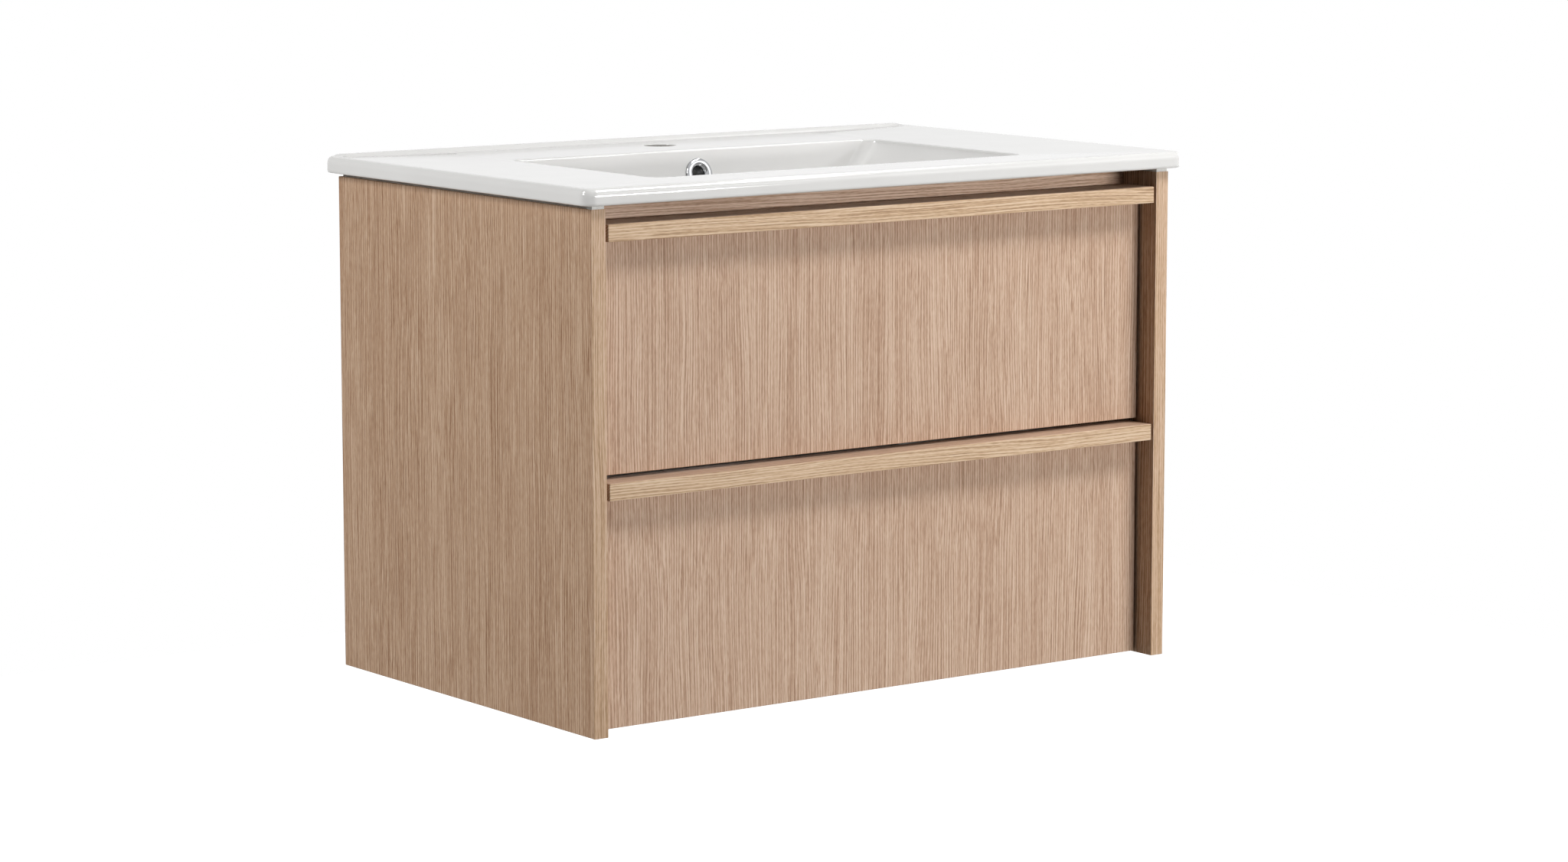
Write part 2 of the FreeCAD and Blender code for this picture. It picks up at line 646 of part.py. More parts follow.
def basin():
    """The ceramic top: slab, bowl with its wall, tap hole, waste boss and overflow pocket."""
    levels = bowl_levels()
    cavity = [basin_section(f"cavity_{index}", *level) for index, level in enumerate(levels)]
    mouth_drop = f"({DECK} - {SEAT}) / 2"
    shell_drops = [mouth_drop, "shoulder_drop", "bowl_depth - heel_rise", "bowl_depth + bowl_wall"]
    shell = [basin_section(f"shell_{index}", drop, f"{level[1]} - bowl_wall", f"{level[2]} - bowl_wall",
                           f"{level[3]} + bowl_wall")
             for index, (drop, level) in enumerate(zip(shell_drops, levels[1:]))]
    waste_boss = rod("waste_boss", "+Z", ("0", WASTE_Y, WASTE_END), "waste_boss_radius",
                     "waste_wall - through")
    overflow_depth = "overflow_pocket + overflow_boss"
    overflow_boss = overflow_rod("overflow_boss_rod", "overflow_bore + overflow_boss",
                                 overflow_depth, f"{overflow_depth} - through")
    whole = fused("basin_whole", [basin_slab(), basin_back_lip(), lofted("bowl_shell", shell),
                                  waste_boss, overflow_boss])
    hollows = fused("basin_hollows", [
        lofted("bowl_cavity", cavity),
        basin_deck_recess(),
        rod("waste_hole", "+Z", ("0", WASTE_Y, f"{WASTE_END} - through"), "waste_radius",
            "waste_wall + 2 * through"),
        rod("tap_hole", "+Z", ("0", f"{BOWL_REAR} / 2", f"{SEAT} - through"), "tap_radius",
            "rim_height + 2 * through"),
        overflow_rod("overflow_hole", "overflow_bore", "overflow_pocket", overflow_depth),
    ])
    top = doc.addObject("Part::Cut", "basin_cut")
    top.Base = whole
    top.Tool = hollows
    piece("basin", top)


def overflow_rod(name, radius, behind, length):
    """A round bar square to the bowl's rear wall, starting behind the overflow's point on it."""
    bar = rod(name, "-Y", ("0", f"{OVERFLOW_Y} + cos({WALL_LEAN}) * ({behind})",
                           f"{OVERFLOW_Z} - sin({WALL_LEAN}) * ({behind})"), radius, length)
    bind(bar, "Placement.Rotation.Angle", f"90 deg - {WALL_LEAN}")
    return bar


def overflow_ring():
    """The flanged ring that trims the overflow: a turned profile, square to the rear wall."""
    body = doc.addObject("PartDesign::Body", "ring_body")
    sketch = body.newObject("Sketcher::SketchObject", "ring_profile")
    plane = next(item for item in body.Origin.OriginFeatures if item.Role == "XZ_Plane")
    sketch.AttachmentSupport = (plane, [""])
    sketch.MapMode = "FlatFace"
    sleeve = "(overflow_bore - fit_clearance)"
    corners = [("ring_hole", "-ring_sleeve"), (sleeve, "-ring_sleeve"), (sleeve, "-fit_clearance"),
               ("ring_radius", "-fit_clearance"), ("ring_radius", "ring_edge"),
               ("ring_radius - ring_wall", "ring_face"), ("ring_hole + ring_wall", "ring_face"),
               ("ring_hole", "ring_edge")]
    draw_corners(sketch, corners)
    turned = body.newObject("PartDesign::Revolution", "ring_turned")
    turned.Profile = sketch
    turned.ReferenceAxis = (sketch, ["V_Axis"])
    turned.Angle = 360
    body.Placement = FreeCAD.Placement(FreeCAD.Vector(), TURNS["-Y"])
    lift = "2 * fit_clearance"
    place(body, "0", f"{OVERFLOW_Y} - cos({WALL_LEAN}) * {lift}",
          f"{OVERFLOW_Z} + sin({WALL_LEAN}) * {lift}")
    bind(body, "Placement.Rotation.Angle", f"90 deg - {WALL_LEAN}")
    piece("overflow_ring", body)


def basin_bedding():
    """White bedding between the carcass and the basin, with a wider pad at each side panel's front end."""
    height = (PANEL_TOP, SEAT)
    strips = []
    for hand, side in SIDES.items():
        across = side_span(side, "-bedding_inset - bedding_width", "-bedding_inset")
        depth = (f"{PANEL_FRONT} + bedding_inset", f"{PANEL_REAR} - bedding_inset")
        strip = block(f"bedding_{hand}", across, depth, height)
        pad = block(f"bedding_pad_{hand}", side_span(side, "bedding_pad_inset - board", "-bedding_pad_inset"),
                    (f"{PANEL_FRONT} + bedding_pad_inset",
                     f"{PANEL_FRONT} + bedding_pad_inset + bedding_pad"), height)
        strips.append(fused(f"bedding_{hand}_whole", [strip, pad]))
    length = (f"-({INNER} - bedding_end)", f"{INNER} - bedding_end")
    for name, front in (("front", FASCIA_FRONT), ("rear", RAIL_BOARD_FRONT)):
        strips.append(block(f"bedding_{name}", length,
                            (f"{front} + bedding_inset", f"{front} + bedding_inset + bedding_width"), height))
    piece("basin_bedding", grouped("bedding_strips", strips))


def drawer_front(level, low, box_low, box_top):
    """A drawer's front board and the grip strip laid along its top, dowelled together."""
    half = f"({INNER} - front_reveal)"
    top = f"({low} + {FRONT_HEIGHT})"
    width = (f"-{half}", half)
    dowels, dowel_holes = [], []
    reach = f"({half} - strip_dowel_inset)"
    for index, x in enumerate((f"-{reach}", f"-{reach} / 3", f"{reach} / 3", reach)):
        start = (x, f"{FRONT_FACE} + board / 2", f"{top} - strip_dowel_bite")
        dowels.append(rod(f"{level}_strip_dowel_{index}", "+Z", start, "strip_dowel_radius",
                          "2 * strip_dowel_bite"))
        low_start = (*start[:2], f"{top} - strip_dowel_bite - fit_clearance")
        dowel_holes.append(rod(f"{level}_strip_dowel_hole_{index}", "+Z", low_start,
                               "strip_dowel_radius + fit_clearance",
                               "2 * (strip_dowel_bite + fit_clearance)"))
    bolts, cams, bolt_holes, cam_holes = [], [], {LEFT: [], RIGHT: []}, {LEFT: [], RIGHT: []}
    shank = "cam_setback - cam_radius"
    for hand, side in SIDES.items():
        for index, share in enumerate(FIXING_SHARES):
            z = f"{box_low} + {share} * ({box_top} - {box_low})"
            tag = f"{level}_{hand}_front_{index}"
            x = from_side(side, f"{SIDE_GAP} + box_board / 2")
            bolts.append(rod(f"{tag}_bolt", "-Y", (x, f"{FRONT_REAR} + {shank}", z),
                             "bolt_radius", f"{shank} + bolt_bite"))
            bolt_holes[side].append(rod(f"{tag}_bolt_hole", "-Y", (x, f"{FRONT_REAR} + cam_setback", z),
                                        "bolt_radius + fit_clearance",
                                        "cam_setback + bolt_bite + fit_clearance"))
            start = (from_side(side, SIDE_GAP), f"{FRONT_REAR} + cam_setback", z)
            cams.append(rod(f"{tag}_cam", inward(side), start, "cam_radius", "box_board - cam_skin"))
            cam_holes[side].append(rod(f"{tag}_cam_hole", inward(side), start,
                                       "cam_radius + fit_clearance",
                                       "box_board - cam_skin + fit_clearance"))
    front = block(f"{level}_front_blank", width, (FRONT_FACE, FRONT_REAR), (low, top))
    piece(f"{level}_drawer_front", drilled(f"{level}_front_drilled", front,
                                           dowel_holes + bolt_holes[LEFT] + bolt_holes[RIGHT]))
    strip = block(f"{level}_strip_blank", width, (PANEL_FRONT, FRONT_REAR), (top, f"{top} + strip_height"))
    piece(f"{level}_grip_strip", drilled(f"{level}_strip_drilled", strip, dowel_holes))
    piece(f"{level}_grip_dowels", grouped(f"{level}_strip_dowels", dowels))
    piece(f"{level}_front_bolts", grouped(f"{level}_bolt_set", bolts))
    piece(f"{level}_front_cams", grouped(f"{level}_cam_set", cams))
    return {side: fused(f"{level}_{hand}_sockets", bolt_holes[side] + cam_holes[side])
            for hand, side in SIDES.items()}


def box_screw(name, way, start):
    """A countersunk box screw flush with the face it starts on, and the hole it fills."""
    pair = []
    for tag, slack in ((name, "0"), (f"{name}_hole", "fit_clearance")):
        pair.append(fused(tag, [
            rod(f"{tag}_shank", way, start, f"box_screw_radius + {slack}", f"box_screw_length + {slack}"),
            rod(f"{tag}_head", way, start, f"box_screw_head_radius + {slack}", f"box_screw_head + {slack}")]))
    return pair


def box_side(level, hand, height, bottom, front_socket):
    """A drawer's side, screwed to the back and the bottom's edge.

    Returns the screws, the back's holes and the bottom's holes.
    """
    side = SIDES[hand]
    low, high = bottom
    back_rows = [(f"{BOX_REAR} - box_board / 2", f"{high} + {share} * ({height[1]} - {high})")
                 for share in FIXING_SHARES]
    bottom_rows = [(y, f"({low} + {high}) / 2")
                   for y in (f"{FRONT_REAR} + 2 * joint_inset", f"{BOX_REAR} - 2 * joint_inset")]
    screws, holes = [], []
    for index, (y, z) in enumerate(back_rows + bottom_rows):
        screw, hole = box_screw(f"{level}_{hand}_box_screw_{index}", inward(side),
                                (from_side(side, SIDE_GAP), y, z))
        screws.append(screw)
        holes.append(hole)
    across = side_span(side, SIDE_GAP, SIDE_IN)
    blank = block(f"{level}_{hand}_side_blank", across, (FRONT_REAR, BOX_REAR), height)
    piece(f"{level}_drawer_{hand}_side",
          drilled(f"{level}_{hand}_side_drilled", blank, [front_socket] + holes))
    return screws, holes[:len(back_rows)], holes[len(back_rows):]


def trap_walls(level, bottom_low, wall, bay_front):
    """The cheeks and bridge around the bay for the waste pipe; returns their screws and holes."""
    middle = "(trap_half_width + box_board / 2)"
    cheek_out = "(trap_half_width + box_board)"
    bay_depth = f"({BOX_REAR} - {bay_front})"
    screws, bottom_holes = [], []

    def screwed(label, limits, rows):
        wall_holes = []
        for index, (x, y) in enumerate(rows):
            screw, hole = box_screw(f"{label}_screw_{index}", "+Z", (x, y, bottom_low))
            screws.append(screw)
            wall_holes.append(hole)
        bottom_holes.extend(wall_holes)
        piece(label, drilled(f"{label}_drilled", block(f"{label}_blank", *limits), wall_holes))

    bridge_mid = f"{bay_front} - box_board / 2"
    bridge = ((f"-{cheek_out}", cheek_out), (f"{bay_front} - box_board", bay_front), wall)
    screwed(f"{level}_trap_bridge", bridge,
            [("-trap_half_width / 2", bridge_mid), ("trap_half_width / 2", bridge_mid)])
    for hand, side in SIDES.items():
        across = side_span(side, f"{INNER} - {cheek_out}", f"{INNER} - trap_half_width")
        screwed(f"{level}_trap_{hand}_cheek", (across, (bay_front, BOX_REAR), wall),
                [(f"{side} * {middle}", f"{bay_front} + {share} * {bay_depth}") for share in FIXING_SHARES])
    return screws, bottom_holes


def drawer_box(level, base, box_low, box_top, front_sockets, trap_cut):
    """A drawer's sides, bottom and back; a trap cut leaves a bay for the waste pipe."""
    bottom_low = f"({base} + rail_rise)"
    bottom_top = f"({bottom_low} + box_bottom)"
    wall = (bottom_top, box_top)
    back = (f"{BOX_REAR} - box_board", BOX_REAR)
    inner = f"({INNER} - {SIDE_IN})"
    width = (f"-{inner}", inner)
    rail_screws, bottom_holes = drawer_rails(level, base)
    screws, back_holes = [], {}
    for hand, side in SIDES.items():
        side_screws, back_holes[side], edge_holes = box_side(level, hand, (box_low, box_top),
                                                             (bottom_low, bottom_top), front_sockets[side])
        screws += side_screws
        bottom_holes += edge_holes
    floor = block(f"{level}_bottom_blank", width, (FRONT_REAR, BOX_REAR), (bottom_low, bottom_top))
    if trap_cut:
        bay_front = f"({WASTE_Y} - trap_clearance)"
        trap_screws, trap_holes = trap_walls(level, bottom_low, wall, bay_front)
        screws += trap_screws
        bay = block(f"{level}_trap_bay", ("-trap_half_width", "trap_half_width"),
                    (bay_front, f"{BOX_REAR} + through"),
                    (f"{bottom_low} - through", f"{bottom_top} + through"))
        bottom_holes += trap_holes + [bay]
        for hand, side in SIDES.items():
            across = side_span(side, SIDE_IN, f"{INNER} - trap_half_width - box_board")
            half_back = block(f"{level}_{hand}_back_blank", across, back, wall)
            piece(f"{level}_drawer_{hand}_back",
                  drilled(f"{level}_{hand}_back_drilled", half_back, back_holes[side]))
    else:
        whole_back = block(f"{level}_back_blank", width, back, wall)
        piece(f"{level}_drawer_back",
              drilled(f"{level}_back_drilled", whole_back, back_holes[LEFT] + back_holes[RIGHT]))
    piece(f"{level}_drawer_bottom", drilled(f"{level}_bottom_drilled", floor, bottom_holes))
    piece(f"{level}_box_screws", grouped(f"{level}_box_screw_set", screws))
    piece(f"{level}_drawer_rail_screws", grouped(f"{level}_rail_screw_set", rail_screws))


def drawer_rails(level, base):
    """The rails under a drawer's bottom, and the screws through their ears into it."""
    screws, holes = [], []
    top_low = "rail_rise - rail_steel"
    for hand, side in SIDES.items():
        tag = f"{level}_{hand}_drawer_rail"
        near, far = f"{DRAWER_RAIL_OUT} + rail_steel", f"{DRAWER_RAIL_IN} - rail_steel"
        outline = [(DRAWER_RAIL_OUT, DRAWER_RAIL_LOW), (near, DRAWER_RAIL_LOW), (near, top_low),
                   (far, top_low), (far, DRAWER_RAIL_LOW), (DRAWER_RAIL_IN, DRAWER_RAIL_LOW),
                   (DRAWER_RAIL_IN, top_low), (EAR_IN, top_low), (EAR_IN, "rail_rise"),
                   (DRAWER_RAIL_OUT, "rail_rise")]
        sketch = polygon(f"{tag}_profile", [(from_side(side, u), f"{base} + {v}") for u, v in outline],
                         ACROSS_CABINET)
        place(sketch, "0", MOVING_RAIL_REAR, "0")
        rail = extruded(f"{tag}_bar", sketch, f"{MOVING_RAIL_REAR} - {RAIL_FRONT}")
        side_holes = []
        for index, y in enumerate((f"{RAIL_FRONT} + joint_inset", f"{RAIL_REAR} - joint_inset")):
            x = from_side(side, f"({DRAWER_RAIL_IN} + {EAR_IN}) / 2")
            seat = f"{base} + {top_low}"
            name = f"{tag}_screw_{index}"
            length = "rail_steel + ear_screw_bite"
            screws.append(fused(name, [
                rod(f"{name}_shank", "+Z", (x, y, seat), "screw_radius", length),
                rod(f"{name}_head", "+Z", (x, y, f"{seat} - screw_head"), "screw_head_radius",
                    "screw_head")]))
            side_holes.append(rod(f"{name}_hole", "+Z", (x, y, seat), "screw_radius + fit_clearance",
                                  f"{length} + fit_clearance"))
        piece(tag, drilled(f"{tag}_drilled", rail, side_holes))
        holes += side_holes
    return screws, holes


def middle_rails(level, base):
    """The rails that ride between cabinet and drawer, with the nylon glides that stand in them."""
    glides = []
    for hand, side in SIDES.items():
        tag = f"{level}_{hand}_middle_rail"
        near, far = f"{MIDDLE_OUT} + rail_steel", f"{MIDDLE_IN} - rail_steel"
        outline = [(MIDDLE_OUT, MIDDLE_LOW), (MIDDLE_IN, MIDDLE_LOW), (MIDDLE_IN, "middle_height"),
                   (far, "middle_height"), (far, MIDDLE_FLOOR), (near, MIDDLE_FLOOR),
                   (near, "middle_height"), (MIDDLE_OUT, "middle_height")]
        sketch = polygon(f"{tag}_profile", [(from_side(side, u), f"{base} + {v}") for u, v in outline],
                         ACROSS_CABINET)
        place(sketch, "0", MOVING_RAIL_REAR, "0")
        piece(tag, extruded(f"{tag}_bar", sketch, f"{MOVING_RAIL_REAR} - {RAIL_FRONT}"))
        across = side_span(side, f"{DRAWER_RAIL_OUT} + rail_steel + slide_gap",
                           f"{DRAWER_RAIL_IN} - rail_steel - slide_gap")
        height = (f"{base} + {MIDDLE_FLOOR}", f"{base} + rail_rise - rail_steel - slide_gap")
        middle = f"({RAIL_FRONT} + {MOVING_RAIL_REAR}) / 2"
        for index, front in enumerate((RAIL_FRONT, middle)):
            glides.append(block(f"{tag}_glide_{index}", across, (front, f"{front} + glide_length"), height))
    piece(f"{level}_rail_glides", grouped(f"{level}_glide_set", glides))


def drawer(level, front_low, base, box_top, trap_cut):
    """One complete drawer with its runners."""
    box_low = f"({base} + rail_steel + side_clearance)"
    sockets = drawer_front(level, front_low, box_low, box_top)
    drawer_box(level, base, box_low, box_top, sockets, trap_cut)
    middle_rails(level, base)


def check_and_write():
    """Stop if anything failed, then write one file for each piece."""
    doc.recompute()
    failed = [item.Label for item in doc.Objects if {"Invalid", "Error"} & set(item.State)]
    failed += [item.Label for item in pieces if item.Shape.isNull() or not item.Shape.isValid()]
    if failed:
        raise RuntimeError(f"failed: {failed}")
    os.makedirs("parts", exist_ok=True)
    for item in pieces:
        item.Shape.exportStep(f"parts/{item.Label}.step")
    print(f"{len(pieces)} pieces, {sum(len(item.Shape.Solids) for item in pieces)} solids")


carcass()
basin()
overflow_ring()
basin_bedding()
drawer("upper", UPPER_FRONT_LOW, UPPER_RAIL, UPPER_BOX_TOP, trap_cut=True)
drawer("lower", LOWER_FRONT_LOW, LOWER_RAIL, LOWER_BOX_TOP, trap_cut=False)
check_and_write()
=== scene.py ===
# %% [markdown]
# A wall-hung bathroom vanity: an oak-look cabinet with two drawers under a one-piece ceramic basin.
# The imported CAD model is loaded first and stays where it is. Every piece made here is drawn in the
# same frame, in metres, so nothing has to be fitted by hand.

# %% The imported cabinet as a fixed frame
import json
import math

import bmesh
import bpy
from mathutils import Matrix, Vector


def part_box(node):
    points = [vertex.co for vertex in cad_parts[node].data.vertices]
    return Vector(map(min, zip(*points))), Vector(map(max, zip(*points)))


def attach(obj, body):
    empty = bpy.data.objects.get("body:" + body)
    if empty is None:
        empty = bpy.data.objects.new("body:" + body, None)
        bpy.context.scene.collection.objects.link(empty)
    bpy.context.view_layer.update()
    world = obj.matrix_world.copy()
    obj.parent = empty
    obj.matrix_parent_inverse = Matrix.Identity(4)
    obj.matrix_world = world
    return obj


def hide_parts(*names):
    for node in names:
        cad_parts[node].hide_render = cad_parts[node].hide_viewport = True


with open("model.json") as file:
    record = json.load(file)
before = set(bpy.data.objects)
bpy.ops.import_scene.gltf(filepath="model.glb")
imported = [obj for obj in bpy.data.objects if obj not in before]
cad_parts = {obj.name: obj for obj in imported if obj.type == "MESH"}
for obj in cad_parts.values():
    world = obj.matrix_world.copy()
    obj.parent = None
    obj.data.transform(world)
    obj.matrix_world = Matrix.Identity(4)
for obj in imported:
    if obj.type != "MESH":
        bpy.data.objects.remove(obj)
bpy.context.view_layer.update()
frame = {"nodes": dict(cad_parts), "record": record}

slot_of = {row["node"]: row["material_slot"] for row in frame["record"]["subparts"]}
body_of = {node: body for body, nodes in frame["record"]["behaviour"]["bodies"].items() for node in nodes}
MM = 0.001

# %% [markdown]
# Materials come before shapes, because each piece takes its finish as it is made. Colours are written
# as sRGB hex values, the way a paint card or a picture editor gives them, and one function turns them
# into the linear numbers that Blender mixes with. A second small function adds a node, sets it and
# links it, so that a finish reads as a short list of steps.

# %% Colours and nodes
def linear(code):
    """An sRGB hex value as linear red, green, blue and a full alpha."""
    parts = [int(code[at:at + 2], 16) / 255 for at in (1, 3, 5)]
    return [part / 12.92 if part <= 0.04045 else ((part + 0.055) / 1.055) ** 2.4 for part in parts] + [1.0]


def set_inputs(tree, node, inputs):
    """Sets a node's inputs. A socket is linked, anything else is set as a value."""
    for key, value in inputs.items():
        if isinstance(value, bpy.types.NodeSocket):
            tree.links.new(value, node.inputs[key])
        else:
            node.inputs[key].default_value = value


def add_node(tree, kind, inputs=None, stops=None, **settings):
    """Adds a node with its settings and its inputs, and its stops if it is a colour ramp."""
    node = tree.nodes.new(kind)
    for name, value in settings.items():
        setattr(node, name, value)
    set_inputs(tree, node, inputs or {})
    if stops:
        for element, (position, code) in zip(node.color_ramp.elements, (stops[0], stops[-1])):
            element.position, element.color = position, linear(code)
        for position, code in stops[1:-1]:
            node.color_ramp.elements.new(position).color = linear(code)
    return node


def start_finish(name):
    """A new material, with its tree, its shader and the object's own coordinates."""
    material = bpy.data.materials.new(name)
    material.use_nodes = True
    tree = material.node_tree
    place = add_node(tree, "ShaderNodeTexCoord").outputs["Object"]
    return material, tree, tree.nodes["Principled BSDF"], place


print("white card", [round(part, 3) for part in linear("#EDEDEC")])

# %% [markdown]
# The cabinet is chipboard faced with printed oak-look melamine paper. The print is straight-grained:
# fine lines about 3 mm apart run the length of the board like the marks of a comb, they sway a little,
# and short darker pores lie along them. The paper is matt and gives back hardly any gloss. An image of
# wood would be the quick way, but it repeats and has to be unwrapped. Here noise and waves are stretched
# along the grain instead. Because they are read in real coordinates, the grain runs on round the edges of
# a board, and its scale is set in millimetres. Printed pores are only about 0.3 mm wide. They and the
# finest lines are drawn about twice as wide, so that they show.

# %% Oak-look melamine
# layers of the print: width and length in mm, detail, weight
PRINT_LAYERS = {"bands": (22, 700, 2.0, 0.12), "lines": (0.8, 260, 1.0, 0.47), "pores": (0.6, 9, 1.0, 0.3)}
# slanting bands of a wave lie 0.63 of its size apart, which makes 3.3 mm here
COMB_SIZE, COMB_WEIGHT = (5.2, 900), 0.13
SWAY_SIZE, SWAY_REACH = (60, 260), 11
PRINT_LEVEL, SHADE_STOPS = -0.01, (0.36, 0.45, 0.52, 0.61)
EMBOSSING = 0.15


def oak_melamine(name, grain, shades):
    """Printed oak paper under melamine, matt, with its grain along one axis (0 is X, 2 is Z)."""
    material, tree, shader, place = start_finish(name)

    def stretched(vector, across, along):
        """Coordinates whose unit is so many millimetres across the grain and along it."""
        scale = [1 / (across * MM)] * 3
        scale[grain] = 1 / (along * MM)
        return add_node(tree, "ShaderNodeMapping", {"Vector": vector, "Scale": scale}).outputs[0]

    slow = stretched(place, *SWAY_SIZE)
    sway = add_node(tree, "ShaderNodeTexNoise", {"Vector": slow, "Scale": 1.0, "Detail": 1.5})
    centred = add_node(tree, "ShaderNodeVectorMath", {0: sway.outputs["Color"], 1: (0.5, 0.5, 0.5)},
                       operation="SUBTRACT")
    reach = [SWAY_REACH * MM] * 3
    swayed = add_node(tree, "ShaderNodeVectorMath", {0: centred.outputs[0], 1: reach, 2: place},
                      operation="MULTIPLY_ADD").outputs[0]
    layers = []
    for across, along, detail, weight in PRINT_LAYERS.values():
        lined = stretched(swayed, across, along)
        noise = add_node(tree, "ShaderNodeTexNoise",
                         {"Vector": lined, "Scale": 1.0, "Detail": detail, "Roughness": 0.7})
        layers.append((noise, weight))
    comb = add_node(tree, "ShaderNodeTexWave",
                    {"Vector": stretched(swayed, *COMB_SIZE), "Scale": 1.0, "Distortion": 5.0,
                     "Detail": 1.0, "Detail Scale": 1.0}, bands_direction="DIAGONAL")
    tone = PRINT_LEVEL
    for layer, weight in [*layers, (comb, COMB_WEIGHT)]:
        tone = add_node(tree, "ShaderNodeMath", {0: layer.outputs["Fac"], 1: weight, 2: tone},
                        operation="MULTIPLY_ADD").outputs[0]
    ink = add_node(tree, "ShaderNodeValToRGB", {"Fac": tone}, stops=list(zip(SHADE_STOPS, shades)))
    relief = add_node(tree, "ShaderNodeBump", {"Height": tone, "Strength": 0.25, "Distance": EMBOSSING * MM})
    set_inputs(tree, shader, {"Base Color": ink.outputs["Color"], "Normal": relief.outputs["Normal"],
                              "Roughness": 0.46, "IOR": 1.48, "Specular IOR Level": 0.1})
    return material


print("print layers", list(PRINT_LAYERS))

# %% [markdown]
# The edge bands and the grip strips' banded fronts differ a little in shade from the boards, and the grain
# stands on some and lies on others. The side panels take a darker, warmer copy of the front print, whose
# darkness is painted shade for faces that look sideways, and the rail under the basin takes a lighter copy,
# which is painted light where the basin shades it. Copies of one material could be recoloured by hand. A
# table is easier to compare and to change, so each row gives the finish's name, the axis of its grain and
# four shades, from the pores to the palest line.

# %% The six oak finishes
GRAIN_X, GRAIN_Z = 0, 2
FRONT_SHADES = ("#9C7C65", "#B6967F", "#C5A891", "#D6BDA8")
OAKS = {
    "upright": ("oak_melamine_upright_grain", GRAIN_Z, FRONT_SHADES),
    "level": ("oak_melamine_level_grain", GRAIN_X, FRONT_SHADES),
    # a lighter copy of the front print: painted light on the rail in the basin's shade
    "fascia": ("oak_melamine_level_grain_fascia_painted_light", GRAIN_X, ("#AC8B73", "#C8A78F", "#D7B9A2", "#E8CDB8")),
    # a darker, warmer copy of the front print: its darkness is painted shade on the side panels
    "panel": ("oak_melamine_upright_grain_panel_painted_shade", GRAIN_Z, ("#836248", "#A48268", "#B4967B", "#CAAF97")),
    "edge": ("oak_edge_banding_upright_grain", GRAIN_Z, ("#9D7E60", "#B69778", "#C6A78C", "#D3B9A1")),
    "strip_edge": ("oak_edge_banding_level_grain", GRAIN_X, ("#A38568", "#BEA081", "#CEB193", "#DBC3A8")),
}
oak = {use: oak_melamine(*row) for use, row in OAKS.items()}
print("oak finishes", [finish.name for finish in oak.values()])

# %% [markdown]
# The top is vitreous china: clay cast in a mould, dipped in white glaze and fired. The glaze is glass,
# so it is smooth and mirrors the lamps, and it lies a little thicker and thinner, which gives faint
# waves in the reflections and the slightest cloud in the white. A plain white shader would give the
# colour, but its reflections would be as straight as in sheet plastic. Two slow noises mend that.

# %% White glaze
CLOUD_SIZE, RIPPLE_SIZE, RIPPLE_DEPTH = 80, 22, 0.06
glaze, tree, shader, place = start_finish("vitreous_china_fired_white_glaze")
cloud = add_node(tree, "ShaderNodeTexNoise", {"Vector": place, "Scale": 1 / (CLOUD_SIZE * MM), "Detail": 2.0})
white = add_node(tree, "ShaderNodeValToRGB", {"Fac": cloud.outputs["Fac"]},
                 stops=[(0.3, "#D5D4D2"), (0.7, "#DAD9D7")])
ripple = add_node(tree, "ShaderNodeTexNoise",
                  {"Vector": place, "Scale": 1 / (RIPPLE_SIZE * MM), "Detail": 1.0})
skin = add_node(tree, "ShaderNodeBump",
                {"Height": ripple.outputs["Fac"], "Strength": 0.1, "Distance": RIPPLE_DEPTH * MM})
set_inputs(tree, shader, {"Base Color": white.outputs["Color"], "Normal": skin.outputs["Normal"],
                          "Roughness": 0.1, "IOR": 1.52})
print("glaze", glaze.name)

# %% [markdown]
# The tap hole is cut after the glaze is on, so its wall is bare fired clay, rough and dry. Its grey is
# partly the clay's own and partly painted shade for the inside of the hole: the white glaze could simply
# run on into the hole, but then the hole would hardly show from the front. Clay's grit is finer than a
# millimetre. It is drawn 1.5 mm wide, so that it shows.

# %% Bare clay, grey partly as painted shade
CLAY_GRIT = 1.5
bare_clay_and_shade, tree, shader, place = start_finish("fired_clay_bare_cut_painted_shade")
grit = add_node(tree, "ShaderNodeTexNoise", {"Vector": place, "Scale": 1 / (CLAY_GRIT * MM), "Detail": 3.0})
# the grey of bare clay, which is also painted shade for the inside of the tap hole
clay = add_node(tree, "ShaderNodeValToRGB", {"Fac": grit.outputs["Fac"]},
                stops=[(0.35, "#8F8C87"), (0.65, "#A9A6A1")])
set_inputs(tree, shader, {"Base Color": clay.outputs["Color"], "Roughness": 0.85})
print("bare clay", bare_clay_and_shade.name)

# %% [markdown]
# The smaller finishes are listed together, because they share one recipe: a noise of a real size moves
# the colour between two shades, and the same noise gives a shallow relief. The overflow ring is brass,
# polished and chromed, so it is a clear mirror. Runners and hanging bars are zinc-plated steel, half dull
# with a faint crystal mottle. Cams are die-cast zinc with a duller skin. Glides are moulded nylon, waxy
# and off-white, and spacers are black moulded rubber. The basin sits on white sealing strip, which is dull
# foam. Dowels are turned beech with flecks along them, and the drawer boxes are white melamine with a fine
# pearl. In life the pearl, the cast grit and the foam's cells are a few tenths of a millimetre wide. They
# are drawn about a millimetre wide, so that they show. Metals keep Blender's default IOR.

